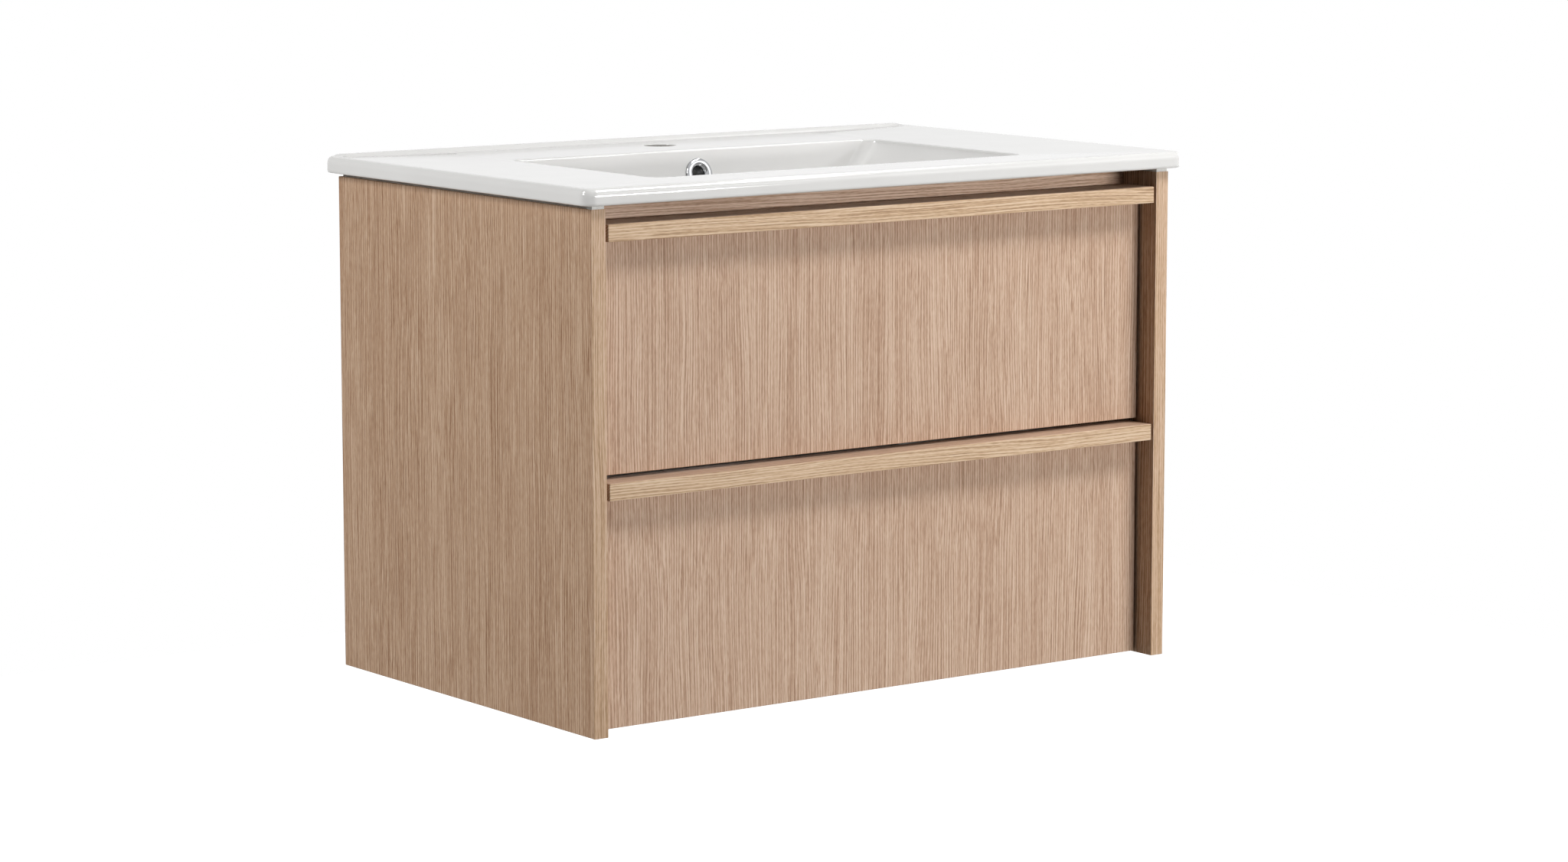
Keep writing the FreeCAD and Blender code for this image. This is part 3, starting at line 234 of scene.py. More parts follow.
# %% Metals, plastics and small woods
FINISHES = {
    # slot: (name, dark, light, size of the pattern in mm, roughness, metallic, relief in mm)
    # greys darker than chrome's own, standing in for the dim room it mirrors: painted reflection
    "chrome": ("brass_polished_chrome_plated", "#A8A9AB", "#B6B7B9", (9, 9, 9), 0.07, 1.0, 0.01),
    "zinc_steel": ("steel_rolled_zinc_plated", "#A4A8AC", "#BFC2C5", (4, 4, 4), 0.34, 1.0, 0.03),
    "zinc_fitting": ("zinc_die_cast_tumbled", "#8F9295", "#A6A9AB", (1.5, 1.5, 1.5), 0.45, 1.0, 0.05),
    "nylon": ("nylon_injection_moulded", "#D3D2CC", "#DDDCD7", (3, 3, 3), 0.5, 0.0, 0.04),
    "spacer_rubber": ("rubber_moulded_black", "#3A3A3B", "#48484A", (2, 2, 2), 0.8, 0.0, 0.1),
    "white_bedding": ("sealing_strip_white_foam", "#DCDCD9", "#E8E8E5", (1.2, 1.2, 1.2), 0.75, 0.0, 0.12),
    "beech_dowel": ("beech_turned_plain", "#C49B6E", "#DDBB90", (7, 0.8, 0.8), 0.6, 0.0, 0.08),
    "drawer_board": ("melamine_white_pressed_pearl", "#E2E0DC", "#E9E7E4", (0.9, 0.9, 0.9), 0.5, 0.0, 0.05),
}
finish_of = {"glazed_ceramic": glaze, "oak_edge": oak["edge"], "oak_board": oak["upright"]}
for slot, (name, dark, light, sizes, roughness, metallic, depth) in FINISHES.items():
    material, tree, shader, place = start_finish(name)
    sized = add_node(tree, "ShaderNodeMapping",
                     {"Vector": place, "Scale": [1 / (side * MM) for side in sizes]})
    mottle = add_node(tree, "ShaderNodeTexNoise", {"Vector": sized.outputs[0], "Scale": 1.0, "Detail": 2.0})
    shade = add_node(tree, "ShaderNodeValToRGB", {"Fac": mottle.outputs["Fac"]},
                     stops=[(0.35, dark), (0.65, light)])
    relief = add_node(tree, "ShaderNodeBump",
                      {"Height": mottle.outputs["Fac"], "Strength": 0.3, "Distance": depth * MM})
    set_inputs(tree, shader, {"Base Color": shade.outputs["Color"], "Normal": relief.outputs["Normal"],
                              "Roughness": roughness, "Metallic": metallic})
    if not metallic:
        set_inputs(tree, shader, {"Specular IOR Level": 0.2})
    finish_of[slot] = material
print("finishes for", len(finish_of), "slots")

# %% [markdown]
# Each piece drawn here stands in for a CAD node: it hides the node, rides on its body and carries its
# slot. That could be written out for every piece, but a function can't forget a step. The other helpers
# make a passing object, such as a cutter, and work an object's modifiers into a plain mesh, because a
# finished piece is a plain mesh at the origin.

# %% Pieces and passing objects
def add_object(name, data):
    """Links a new object to the scene."""
    item = bpy.data.objects.new(name, data)
    bpy.context.scene.collection.objects.link(item)
    return item


def finish_piece(name, mesh, material, nodes):
    """Links a finished mesh as a piece that stands for CAD nodes, and rides on their body."""
    piece = add_object(name, mesh)
    mesh.materials.clear()
    mesh.materials.append(material)
    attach(piece, body_of[nodes[0]])
    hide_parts(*nodes)
    return piece


def loose_object(name, sheet):
    """An object made from a bmesh, which is freed."""
    mesh = bpy.data.meshes.new(name)
    sheet.to_mesh(mesh)
    sheet.free()
    return add_object(name, mesh)


def add_boolean(target, operation, tool):
    """Puts a Boolean modifier on an object: INTERSECT, UNION or DIFFERENCE with a tool."""
    work = target.modifiers.new(operation.lower(), "BOOLEAN")
    work.operation, work.solver, work.object = operation, "EXACT", tool


def worked_mesh(helper, *tools):
    """The helper's mesh with its modifiers worked in. The helper and its tools are removed."""
    view = bpy.context.evaluated_depsgraph_get()
    mesh = bpy.data.meshes.new_from_object(helper.evaluated_get(view))
    for spent in (helper, *tools):
        bpy.data.objects.remove(spent)
    return mesh


# %% [markdown]
# Boards leave the saw with sharp edges, and the edge-banding machine then eases them by about half a
# millimetre. That tiny round catches a thread of light, and without it a board looks like paper. The
# round could be a Bevel modifier on the CAD mesh, but its faces are cut up round the drilled holes.
# So each board is cut, with a Boolean modifier, by a slightly larger box that has rounded edges.
# The flats and the holes stay those of the CAD board, and only its outer edges change.

# %% A board with eased edges
# the box is this much larger all round, so that its flats stay clear of the board's
GROWN, ROUND_STEPS = 0.02 * MM, 3
SAME_SPOT = 0.002 * MM


def merged_copy(node):
    """A copy of a CAD node's mesh with its loose triangles joined."""
    sheet = bmesh.new()
    sheet.from_mesh(frame["nodes"][node].data)
    bmesh.ops.remove_doubles(sheet, verts=sheet.verts, dist=SAME_SPOT)
    return sheet


def eased_board(node, ease):
    """The CAD board with its outer edges rounded by so many millimetres."""
    low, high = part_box(node)
    block = bmesh.new()
    bmesh.ops.create_cube(block, size=1.0)
    size, centre = high - low + Vector([2 * GROWN] * 3), (low + high) / 2
    for corner in block.verts:
        corner.co = centre + Vector(side * step for side, step in zip(corner.co, size))
    bmesh.ops.bevel(block, geom=list(block.edges), offset=ease * MM, segments=ROUND_STEPS, profile=0.5,
                    affect="EDGES")
    cutter = loose_object("easing_block", block)
    board = loose_object("board_copy", merged_copy(node))
    add_boolean(board, "INTERSECT", cutter)
    return worked_mesh(board, cutter)


print("steps in an eased edge", ROUND_STEPS)

# %% [markdown]
# Panels, fronts, rails, strips, edge bands and the drawer boxes' boards all get their easing in one loop.
# It is rounder on faced boards than on thin edge bands. A grip strip's front is edge banding in a lighter
# shade. It could be a strip of its own, but the band has no thickness to speak of, so the faces that look
# forwards just take a second material.

# %% The boards
EASES = {"oak_board": 0.8, "oak_edge": 0.35, "drawer_board": 0.6}
# the side panels take the oak with painted shade, the rail under the basin the oak with painted light
OAK_OF = {"left_side_panel": "panel", "right_side_panel": "panel", "front_fascia_rail": "fascia",
          "upper_grip_strip": "level", "lower_grip_strip": "level", "rear_hanging_rail": "level",
          "rear_lower_rail": "level", "bottom_panel": "level"}
LOOKS_FORWARDS = -0.7
boards = [node for node in sorted(slot_of) if slot_of[node] in EASES]
for node in boards:
    slot = slot_of[node]
    finish = oak[OAK_OF[node]] if node in OAK_OF else finish_of[slot]
    piece = finish_piece(f"{node}_eased", eased_board(node, EASES[slot]), finish, [node])
    if node.endswith("grip_strip"):
        piece.data.materials.append(oak["strip_edge"])
        for face in piece.data.polygons:
            face.material_index = int(face.normal.y < LOOKS_FORWARDS)
print("eased boards", len(boards))

# %% [markdown]
# The basin is the piece that light plays on, so it gets its own smooth mesh. It is drawn the way a mould
# maker would section it: level outlines, each a rectangle with rounded corners, from the underside up the
# face, over the soft edge, across the deck and down into the bowl. Subdivision would also round it, but
# it would round the flat deck as well.

# %% Outlines of the basin
CORNER_STEPS, CIRCLE_STEPS = 8, 48
# a point this far from a corner keeps its shading off the straight; two points fence in the overflow
SUPPORT, OVERFLOW_PATCH = 1.5, 22


def outline(half, front, back, radius, height, back_height=None, back_radius=None):
    """Points in mm round a rectangle with rounded corners; its back edge may lie at its own height."""
    back_height = height if back_height is None else back_height
    back_radius = radius if back_radius is None else back_radius
    points = []

    def corner(across, along, size, start, low, high):
        """Adds a quarter turn, which may climb, gently at both ends."""
        for step in range(CORNER_STEPS + 1):
            share = step / CORNER_STEPS
            angle = math.radians(start + 90 * share)
            rise = share * share * (3 - 2 * share)
            points.append((across + size * math.cos(angle), along + size * math.sin(angle),
                           low + (high - low) * rise))

    side_ends = (front + radius + SUPPORT, back - back_radius - SUPPORT)
    front_end, back_end = half - radius - SUPPORT, half - back_radius - SUPPORT
    corner(half - radius, front + radius, radius, -90, height, height)
    points.extend((half, along, height) for along in side_ends)
    corner(half - back_radius, back - back_radius, back_radius, 0, height, back_height)
    for across in (back_end, OVERFLOW_PATCH, -OVERFLOW_PATCH, -back_end):
        points.append((across, back, back_height))
    corner(back_radius - half, back - back_radius, back_radius, 90, back_height, height)
    points.extend((-half, along, height) for along in reversed(side_ends))
    corner(radius - half, front + radius, radius, 180, height, height)
    points.extend((across, front, height) for across in (-front_end, front_end))
    return points


def ring(centre, radius, height):
    """Points in mm round a level circle."""
    turns = [2 * math.pi * step / CIRCLE_STEPS for step in range(CIRCLE_STEPS)]
    return [(centre[0] + radius * math.cos(turn), centre[1] + radius * math.sin(turn), height)
            for turn in turns]


print("points in an outline", len(outline(100, -100, 0, 10, 0)))

# %% [markdown]
# Outlines become china in two ways. Where the shape bends, each outline is joined to the next by clean
# four-sided faces. Where it is flat and has holes, the gap between the loops is filled with triangles.
# Blender's own Bridge and Fill do the same in edit mode, but a script needs no selecting for these.

# %% Skins and flats
def draw(sheet, points):
    """Adds points in mm to a bmesh as vertices in metres."""
    return [sheet.verts.new([part * MM for part in point]) for point in points]


def skin_over(sheet, loops):
    """Joins closed loops of equal count, each to the next, with four-sided faces."""
    for first, second in zip(loops, loops[1:]):
        for step in range(len(first)):
            after = (step + 1) % len(first)
            sheet.faces.new((first[step], first[after], second[after], second[step]))


def fill_between(sheet, *loops):
    """Fills the flat between an outer loop and the loops of its holes."""
    edges = []
    for loop in loops:
        for step, vertex in enumerate(loop):
            pair = (vertex, loop[(step + 1) % len(loop)])
            edges.append(sheet.edges.get(pair) or sheet.edges.new(pair))
    bmesh.ops.triangle_fill(sheet, use_beauty=True, use_dissolve=False, edges=edges)


def quarter_round(radius, step):
    """Offsets in mm round a quarter circle, every so many degrees: one shrinks to none, the other grows."""
    turns = [math.radians(turn) for turn in range(0, 91, step)]
    return [(radius * (1 - math.sin(turn)), radius * (1 - math.cos(turn))) for turn in turns]


print("a round of 5 mm", [tuple(round(part, 2) for part in pair) for pair in quarter_round(5, 45)])

# %% [markdown]
# The sizes are those of the CAD basin. The edge of the slab is a soft bullnose, a little taller than it
# is deep, because glaze runs down before it sets, and the taller curve holds a wider line of light. The
# deck falls gently from the edges to the bowl, so that splashes run in, and a low lip along the wall keeps
# them off it. The lip could be a bar laid on the deck, but glaze leaves no joint. It only exists at the
# back, so those outlines carry a second height for their back edge.

# %% The slab, its soft edge, the deck and the lip
# half the width, the front face and the corner radius; then the underside, the deck's low part and the rim
HALF, FRONT, CORNER = 375, -483, 12
SEAT, DECK, RIM = 65, 79.5, 82
# depth and height of the soft edge, round of the lower edge, straight that is kept beside a round
BULLNOSE, BULLNOSE_TALL, FOOT, STRAIGHT = 5, 8, 2.4, 0.8
# inset from the face, height, place of the back edge, its height and its corner radius
LIP = [(5.8, 82.0, -5.7, 82.3, 8), (6.6, 81.98, -6.8, 83.6, 8), (7.4, 81.97, -8.4, 84.0, 9),
       (8.6, 81.95, -12.6, 84.0, 10), (9.6, 81.93, -14.0, 83.5, 11), (11.6, 81.9, -17.4, 80.5, 13),
       (13, 81.88, -18.8, 79.7, 14), (15, 81.85, -20.5, 79.5, 15)]
LIP_CORNER = 7
DECK_END = dict(half=238.5, front=-397.5, back=-26, radius=19)
basin = bmesh.new()


def slab_level(inset, height):
    """An outline of the slab, drawn in from its face."""
    return outline(HALF - inset, FRONT + inset, -inset, CORNER - inset, height)


levels = [slab_level(inset, SEAT + rise) for inset, rise in quarter_round(FOOT, 30)]
levels += [slab_level(0, SEAT + FOOT + STRAIGHT), slab_level(0, RIM - BULLNOSE_TALL - STRAIGHT)]
levels += [slab_level(BULLNOSE * inset, RIM - BULLNOSE_TALL * drop) for drop, inset in quarter_round(1, 10)]
for inset, height, back, back_height, back_radius in LIP:
    levels.append(outline(HALF - inset, FRONT + inset, back, LIP_CORNER, height, back_height, back_radius))
levels.append(outline(**DECK_END, height=DECK))
slab = [draw(basin, level) for level in levels]
skin_over(basin, slab)
print("slab and deck outlines", len(slab))

# %% [markdown]
# The bowl's walls lean: steeply at the front and back, and at a low slant at the sides. Each change of
# slope is eased by a short curve, as glaze would do. The mouth rolls over with a radius of 3 mm. The
# underside has outlines of its own, further out by the thickness of the china. A Solidify modifier could
# thicken the bowl, but it would thicken the slab as well.

# %% The bowl, inside and out
MOUTH = dict(half=232.5, front=-391.5, back=-133.5)
# radius of the roll, radius of the corners, place of a first outline just outside the roll
MOUTH_ROUND, MOUTH_CORNER, MOUTH_LEAD = 3, 14, 3.6
# drop below the deck, inset across, inset front to back, corner radius, reach of the easing curve
BOWL = [(MOUTH_ROUND, 0, 0, MOUTH_CORNER, 0), (44, 38, 9.5, 16, 6), (91, 64, 20, 30, 12),
        (105, 80, 36, 34, 9), (105, 92, 48, 36, 0)]
UNDER = [(14.5, -2.5, -8.1, 24), (44, 28, -0.5, 26), (91, 54, 10, 40), (115, 70, 26, 40)]
# points in a curve, and the largest share of a slope that it may take up
EASE_STEPS, LONGEST_EASE = 5, 0.45


def eased_profile(corners):
    """The rows of a profile, with each inner corner replaced by a short curve."""
    rows = [corners[0][:4]]
    for before, here, after in zip(corners, corners[1:], corners[2:]):
        arms = []
        for other in (before, after):
            share = min(here[4] / math.dist(here[:3], other[:3]), LONGEST_EASE)
            arms.append([mine + (its - mine) * share for mine, its in zip(here[:4], other[:4])])
        for step in range(EASE_STEPS + 1):
            turn = step / EASE_STEPS
            rows.append([(1 - turn) ** 2 * first + 2 * turn * (1 - turn) * mine + turn ** 2 * last
                         for first, mine, last in zip(arms[0], here[:4], arms[1])])
    return rows + [corners[-1][:4]]


def bowl_level(drop, across, along, radius):
    """An outline of the bowl, drawn in from its mouth."""
    return outline(MOUTH["half"] - across, MOUTH["front"] + along, MOUTH["back"] - along, radius, DECK - drop)


inside = [bowl_level(0, -MOUTH_LEAD, -MOUTH_LEAD, MOUTH_CORNER + MOUTH_LEAD)]
for roll, drop in quarter_round(MOUTH_ROUND, 15):
    inside.append(bowl_level(drop, -roll, -roll, MOUTH_CORNER + roll))
inside += [bowl_level(*row) for row in eased_profile(BOWL)[1:]]
bowl = [draw(basin, level) for level in inside]
skin_over(basin, bowl)
under = [draw(basin, bowl_level(*row)) for row in UNDER]
skin_over(basin, under)
print("bowl outlines inside", len(bowl), "and outside", len(under))

# %% [markdown]
# The holes are rings with eased edges. The waste hole sits in a shallow dish, so that the last water
# finds it. Boolean cuts could make them, but would leave sharp rims. The flats between an outline and the
# rings are filled with triangles, and since they are flat, their shading stays clean.

# %% The tap hole, the waste hole and the flats
TAP, TAP_RADIUS, TAP_EASE = (0, -66.75), 17.5, 1.2
WASTE, WASTE_RADIUS, BOSS_RADIUS, WASTE_END = (0, -232.5), 23, 40, -49.5
# radius, drop below the bowl's floor
DISH = [(44, 0), (36, 0.25), (28, 1.1), (25, 1.5), (23.8, 1.9), (WASTE_RADIUS, 2.9)]
BOWL_FLOOR = DECK - BOWL[-1][0]
tap_circles = [(TAP_RADIUS + wider, DECK - drop) for wider, drop in quarter_round(TAP_EASE, 30)]
tap_circles += [(TAP_RADIUS, SEAT)]
waste_circles = [(radius, BOWL_FLOOR - drop) for radius, drop in DISH]
waste_circles += [(WASTE_RADIUS, WASTE_END), (BOSS_RADIUS, WASTE_END), (BOSS_RADIUS, DECK - UNDER[-1][0])]
tap_rings = [draw(basin, ring(TAP, *circle)) for circle in tap_circles]
waste_rings = [draw(basin, ring(WASTE, *circle)) for circle in waste_circles]
skin_over(basin, tap_rings)
skin_over(basin, waste_rings)
fill_between(basin, slab[-1], bowl[0], tap_rings[0])
fill_between(basin, slab[0], under[0], tap_rings[-1])
fill_between(basin, bowl[-1], waste_rings[0])
fill_between(basin, under[-1], waste_rings[-1])
bmesh.ops.recalc_face_normals(basin, faces=basin.faces)
print("open edges", sum(not edge.is_manifold for edge in basin.edges), "faces", len(basin.faces))

# %% [markdown]
# Several shapes are round about an axis: the boss behind the overflow, its ring, and later the screws and
# cams. Each could be a stack of cylinders, but a lathe follows one profile, and so does this function. It
# spins rows of radius and distance about an axis. A profile that ends where it starts closes on itself,
# and any other gets a flat at each end.

# %% A lathe
OVERFLOW = Vector((0, -138.7, 54)) * MM
LEAN = math.atan2(BOWL[1][2], BOWL[1][0] - BOWL[0][0])
OUT_OF_WALL = Vector((0, -math.cos(LEAN), math.sin(LEAN)))


def turned(name, profile, centre=OVERFLOW, axis=OUT_OF_WALL, count=64):
    """A solid turned from (radius, distance along the axis) rows in mm, about an axis square to X."""
    sheet = bmesh.new()
    side, up = Vector((1, 0, 0)), axis.cross(Vector((1, 0, 0)))
    turns = [2 * math.pi * step / count for step in range(count)]
    rays = [side * math.cos(turn) + up * math.sin(turn) for turn in turns]
    loops = [[sheet.verts.new(centre + ray * radius * MM + axis * out * MM) for ray in rays]
             for radius, out in profile]
    skin_over(sheet, loops)
    if profile[0] == profile[-1]:
        bmesh.ops.remove_doubles(sheet, verts=sheet.verts, dist=SAME_SPOT)
    else:
        sheet.faces.new(loops[0])
        sheet.faces.new(loops[-1])
    bmesh.ops.recalc_face_normals(sheet, faces=sheet.faces)
    return loose_object(name, sheet)


def shade_with_creases(mesh, degrees):
    """Smooth shading that stays sharp where faces meet at more than so many degrees."""
    mesh.shade_smooth()
    mesh.set_sharp_from_angle(angle=math.radians(degrees))


print("the rear wall leans", round(math.degrees(LEAN), 1), "degrees")

# %% [markdown]
# Behind the overflow the casting has a round boss with a pocket in it. Both stand square to the leaning
# rear wall. Drawing them into the outlines would crowd the whole wall with points, so Boolean modifiers
# add the boss and cut the pocket. They only touch a narrow patch in the middle of the wall, because the
# outlines have two points there that fence it in. Level faces are shaded flat, so that the deck stays
# even, and the tap hole's upright wall takes the bare clay, whose grey is partly painted shade.

# %% The overflow pocket, and the finished basin
BOSS_PROFILE, POCKET_PROFILE = [(20, -26), (20, -3)], [(12, -18), (12, 8)]
# crease in degrees; then how far a face's direction points up, on level faces and on upright ones
CHINA_CREASE, LEVEL, UPRIGHT_WALL = 35, 0.99999, 0.1
boss, pocket = turned("overflow_boss", BOSS_PROFILE), turned("overflow_pocket", POCKET_PROFILE)
casting = loose_object("basin_casting", basin)
add_boolean(casting, "UNION", boss)
add_boolean(casting, "DIFFERENCE", pocket)
china = worked_mesh(casting, boss, pocket)
shade_with_creases(china, CHINA_CREASE)
for face in china.polygons:
    face.use_smooth = abs(face.normal.z) < LEVEL
finish_piece("basin_glazed", china, glaze, ["basin"])
# the tap hole's wall takes bare clay, whose grey is also painted shade in the hole
china.materials.append(bare_clay_and_shade)
for face in china.polygons:
    out = Vector((face.center.x - TAP[0] * MM, face.center.y - TAP[1] * MM))
    face.material_index = int(out.length < TAP_RADIUS * MM and abs(face.normal.z) < UPRIGHT_WALL)
print("basin faces", len(china.polygons), "bare", sum(face.material_index for face in china.polygons))

# %% [markdown]
# The overflow is trimmed by a chromed ring: a nearly flat flange with a rounded rim, which slopes into the
# hole, and a sleeve that goes into the pocket. A torus would be the quick way, but it mirrors the lamps in
# the wrong place. A turned profile puts the bright line where the flange bends.

# %% The overflow ring
RING_PROFILE = [(16.25, 0.1), (16.25, 1.3), (16.05, 1.9), (15.6, 2.4), (14.9, 2.7), (14.0, 2.85), (12.0, 3.0),
                (11.2, 2.95), (10.2, 2.6), (9.2, 1.9), (8.3, 0.9), (7.6, -0.3), (7.25, -1.5), (7.25, -12),
                (9.25, -12), (9.25, 0.1), (16.25, 0.1)]
RING_CREASE = 50
trim = worked_mesh(turned("overflow_trim", RING_PROFILE))
shade_with_creases(trim, RING_CREASE)
finish_piece("overflow_ring_turned", trim, finish_of["chrome"], ["overflow_ring"])
print("ring faces", len(trim.polygons))

# %% [markdown]
# Screws and cams come by the dozen, so one of each is modelled and the rest are instances. Their places
# could be typed in again, but the CAD model has them: each loose part of a fastener node is one screw, and
# its larger end is the head. A cam is as wide at both ends, so its open end is the one that lies flush
# with the face of its board. The seats are sorted by place, so that each run sets them in the same order.

# %% Where the screws and cams sit
NEAR_END = 0.01 * MM


def loose_parts(sheet):
    """The corner points of each part of a mesh that hangs together."""
    waiting, parts = set(sheet.verts), []
    while waiting:
        spots, reached = [], [waiting.pop()]
        while reached:
            vertex = reached.pop()
            spots.append(vertex.co.copy())
            near = [edge.other_vert(vertex) for edge in vertex.link_edges]
            reached += [other for other in near if other in waiting]
            waiting.difference_update(near)
        parts.append(spots)
    return parts


def fastener_seats(node, cam):
    """The middle of the outer face, the outward direction and the length of each fastener in a CAD node."""
    sheet = merged_copy(node)
    boxes, seats = [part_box(board) for board in boards], []
    for spots in loose_parts(sheet):
        low, high = ([pick(spot[way] for spot in spots) for way in range(3)] for pick in (min, max))
        spans = [top - bottom for bottom, top in zip(low, high)]
        way = spans.index(min(spans) if cam else max(spans))
        centre = (Vector(low) + Vector(high)) / 2
        held = [box for box in boxes if all(box[0][i] < centre[i] < box[1][i] for i in range(3))]
        ends = []
        for level in (low[way], high[way]):
            if cam:
                ends.append(-min(abs(level - side[way]) for box in held for side in box))
            else:
                rim = [spot for spot in spots if abs(spot[way] - level) < NEAR_END]
                ends.append(max((spot - centre).length for spot in rim))
        out = Vector([0, 0, 0])
        out[way] = 1 if ends[1] > ends[0] else -1
        seats.append((centre + out * spans[way] / 2, out, spans[way] / MM))
    sheet.free()
    return sorted(seats, key=lambda seat: [round(part / MM, 2) for part in seat[0]])


FASTENERS = {node: fastener_seats(node, slot_of[node] == "zinc_fitting") for node in sorted(slot_of)
             if node.endswith(("_screws", "_cams", "_locks"))}
print("fasteners", {node: (len(seats), round(seats[0][2], 1)) for node, seats in FASTENERS.items()})

# %% [markdown]
# A screw is made from wire: its thread is rolled, its head is struck, and a cross is pressed into the
# head. A true thread is a spiral, but it is buried in the board, so rings do, and a screw stays light
# enough to repeat. The cross is a tapered star that a Boolean modifier takes out of the head.

# %% Threads and crosses
UPRIGHT = dict(centre=Vector((0, 0, 0)), axis=Vector((0, 0, 1)), count=32)
# thread spacing, length of the point, start of the first ring in mm; core as a share of the radius
PITCH, POINT, FIRST_RING, CORE = 1.8, 2, 2.6, 0.72
# one ring of the thread: share of the radius, rise in mm
THREAD_RING = ((CORE, 0), (1, 0.5), (1, 0.7), (CORE, 1.2))
# size of the star and its level, above the head; its size at the bottom
CROSS_TOP, CROSS_BOTTOM = (1.08, 0.4), 0.6


def threaded(length, radius, under_head):
    """Profile rows of a thread, from its point up to the plain neck under the head."""
    rows = [(0.25, -length), (0.6 * radius, -length + POINT)]
    for turn in range(int((length - under_head - 2 * POINT) / PITCH)):
        level = -length + FIRST_RING + turn * PITCH
        rows += [(share * radius, level + rise) for share, rise in THREAD_RING]
    return rows + [(radius, -under_head - 0.8)]


def slot_cutter(width, reach, depth):
    """A cross to press into a head; it narrows towards its bottom."""
    sheet = bmesh.new()
    half, arm = width / 2, reach / 2
    star = [(arm, -half), (arm, half), (half, half), (half, arm), (-half, arm), (-half, half),
            (-arm, half), (-arm, -half), (-half, -half), (-half, -arm), (half, -arm), (half, -half)]
    loops = [draw(sheet, [(x * size, y * size, level) for x, y in star])
             for size, level in (CROSS_TOP, (CROSS_BOTTOM, -depth))]
    skin_over(sheet, loops)
    for loop in loops:
        sheet.faces.new(loop)
    bmesh.ops.recalc_face_normals(sheet, faces=sheet.faces)
    return loose_object("slot_cutter", sheet)


print("thread rows", len(threaded(50, 2.5, 3)))

# %% [markdown]
# Three kinds of fastener are needed: countersunk screws in the drawer boxes, pan-head screws in the rails
# and the hanging bars, and cams, which are zinc castings with a sunken ring round their cross. One model with
# changing heads would do for far views, but the heads show when a drawer is open, so each kind has its
# own profile.

# %% One screw of each kind, and one cam
COUNTERSUNK_HEAD = [(2.5, -3), (4.9, -0.35), (5.0, 0)]
PAN_HEAD = [(2.0, -1.6), (3.9, -1.6), (4.0, -1.4), (3.95, -0.9), (3.6, -0.4), (2.9, -0.1), (2.2, 0)]
CAM_FACE = [(7.5, -0.5), (7.2, -0.12), (6.8, 0), (5.6, 0), (5.3, -0.5), (4.4, -0.5), (4.1, 0)]
FASTENER_CREASE = 30


def pattern(node, length):
    """The object that is set at every seat of a node: z is 0 on its outer face."""
    if slot_of[node] == "zinc_fitting":
        rows, cross = [(7.0, -length), (7.5, -length + 0.5)] + CAM_FACE, (1.3, 6.6, 2.6)
    elif node.endswith("box_screws"):
        rows, cross = threaded(length, 2.5, 3) + COUNTERSUNK_HEAD, (1.2, 5.4, 2.0)
    else:
        rows, cross = threaded(length, 2.0, 1.6) + PAN_HEAD, (0.9, 3.8, 1.1)
    solid, cutter = turned(f"{node}_pattern", rows, **UPRIGHT), slot_cutter(*cross)
    add_boolean(solid, "DIFFERENCE", cutter)
    mesh = worked_mesh(solid, cutter)
    shade_with_creases(mesh, FASTENER_CREASE)
    return add_object(f"{node}_pattern", mesh)


print("rows of a cam's face", len(CAM_FACE))

# %% [markdown]
# The instances are set by Geometry Nodes. Each seat is a point that carries the direction its head faces.
# The tree turns a copy that way, gives it a chance turn about its own axis, as screws never stop at the
# same angle, and realizes the copies so that each node ends as one plain mesh. A loop of copied meshes
# would give the same, but the tree shows the rule, and its inputs can be changed by hand.

# %% The node tree that sets them
CHANCE_SEED = 4
setter = bpy.data.node_groups.new("set_fasteners", "GeometryNodeTree")
for label, way, kind in (("Seats", "INPUT", "Geometry"), ("Pattern", "INPUT", "Object"),
                         ("Finish", "INPUT", "Material"), ("Turn", "INPUT", "Float"),
                         ("Fasteners", "OUTPUT", "Geometry")):
    setter.interface.new_socket(label, in_out=way, socket_type=f"NodeSocket{kind}")
given = add_node(setter, "NodeGroupInput").outputs
facing = add_node(setter, "GeometryNodeInputNamedAttribute", {"Name": "facing"}, data_type="FLOAT_VECTOR")
aimed = add_node(setter, "FunctionNodeAlignRotationToVector", {"Vector": facing.outputs["Attribute"]},
                 axis="Z")
# inputs 2 and 3 are the least and the greatest of a random float
chance = add_node(setter, "FunctionNodeRandomValue", {2: 0.0, 3: given["Turn"], "Seed": CHANCE_SEED},
                  data_type="FLOAT")
spun = add_node(setter, "FunctionNodeAxisAngleToRotation", {"Axis": (0, 0, 1), "Angle": chance.outputs[1]})
stance = add_node(setter, "FunctionNodeRotateRotation", {0: aimed.outputs[0], 1: spun.outputs[0]},
                  rotation_space="LOCAL")
shape = add_node(setter, "GeometryNodeObjectInfo", {"Object": given["Pattern"]})
copies = add_node(setter, "GeometryNodeInstanceOnPoints",
                  {"Points": given["Seats"], "Instance": shape.outputs["Geometry"],
                   "Rotation": stance.outputs[0]})
real = add_node(setter, "GeometryNodeRealizeInstances", {"Geometry": copies.outputs["Instances"]})
done = add_node(setter, "GeometryNodeSetMaterial",
                {"Geometry": real.outputs["Geometry"], "Material": given["Finish"]})
add_node(setter, "NodeGroupOutput", {"Fasteners": done.outputs["Geometry"]})
socket_of = {item.name: item.identifier for item in setter.interface.items_tree if item.in_out == "INPUT"}
print("tree inputs", sorted(socket_of))

# %% [markdown]
# All the screws of one CAD node go in together, as a fitter takes one box of screws after the other. The
# seats become a mesh of bare points, the tree is put on it as a modifier, and the result is taken out as
# a plain mesh. Each screw could be a piece of its own, but the CAD model keeps a row of screws as one
# node, and so does this. The modifier's inputs are set by identifier, which stays when a label changes.

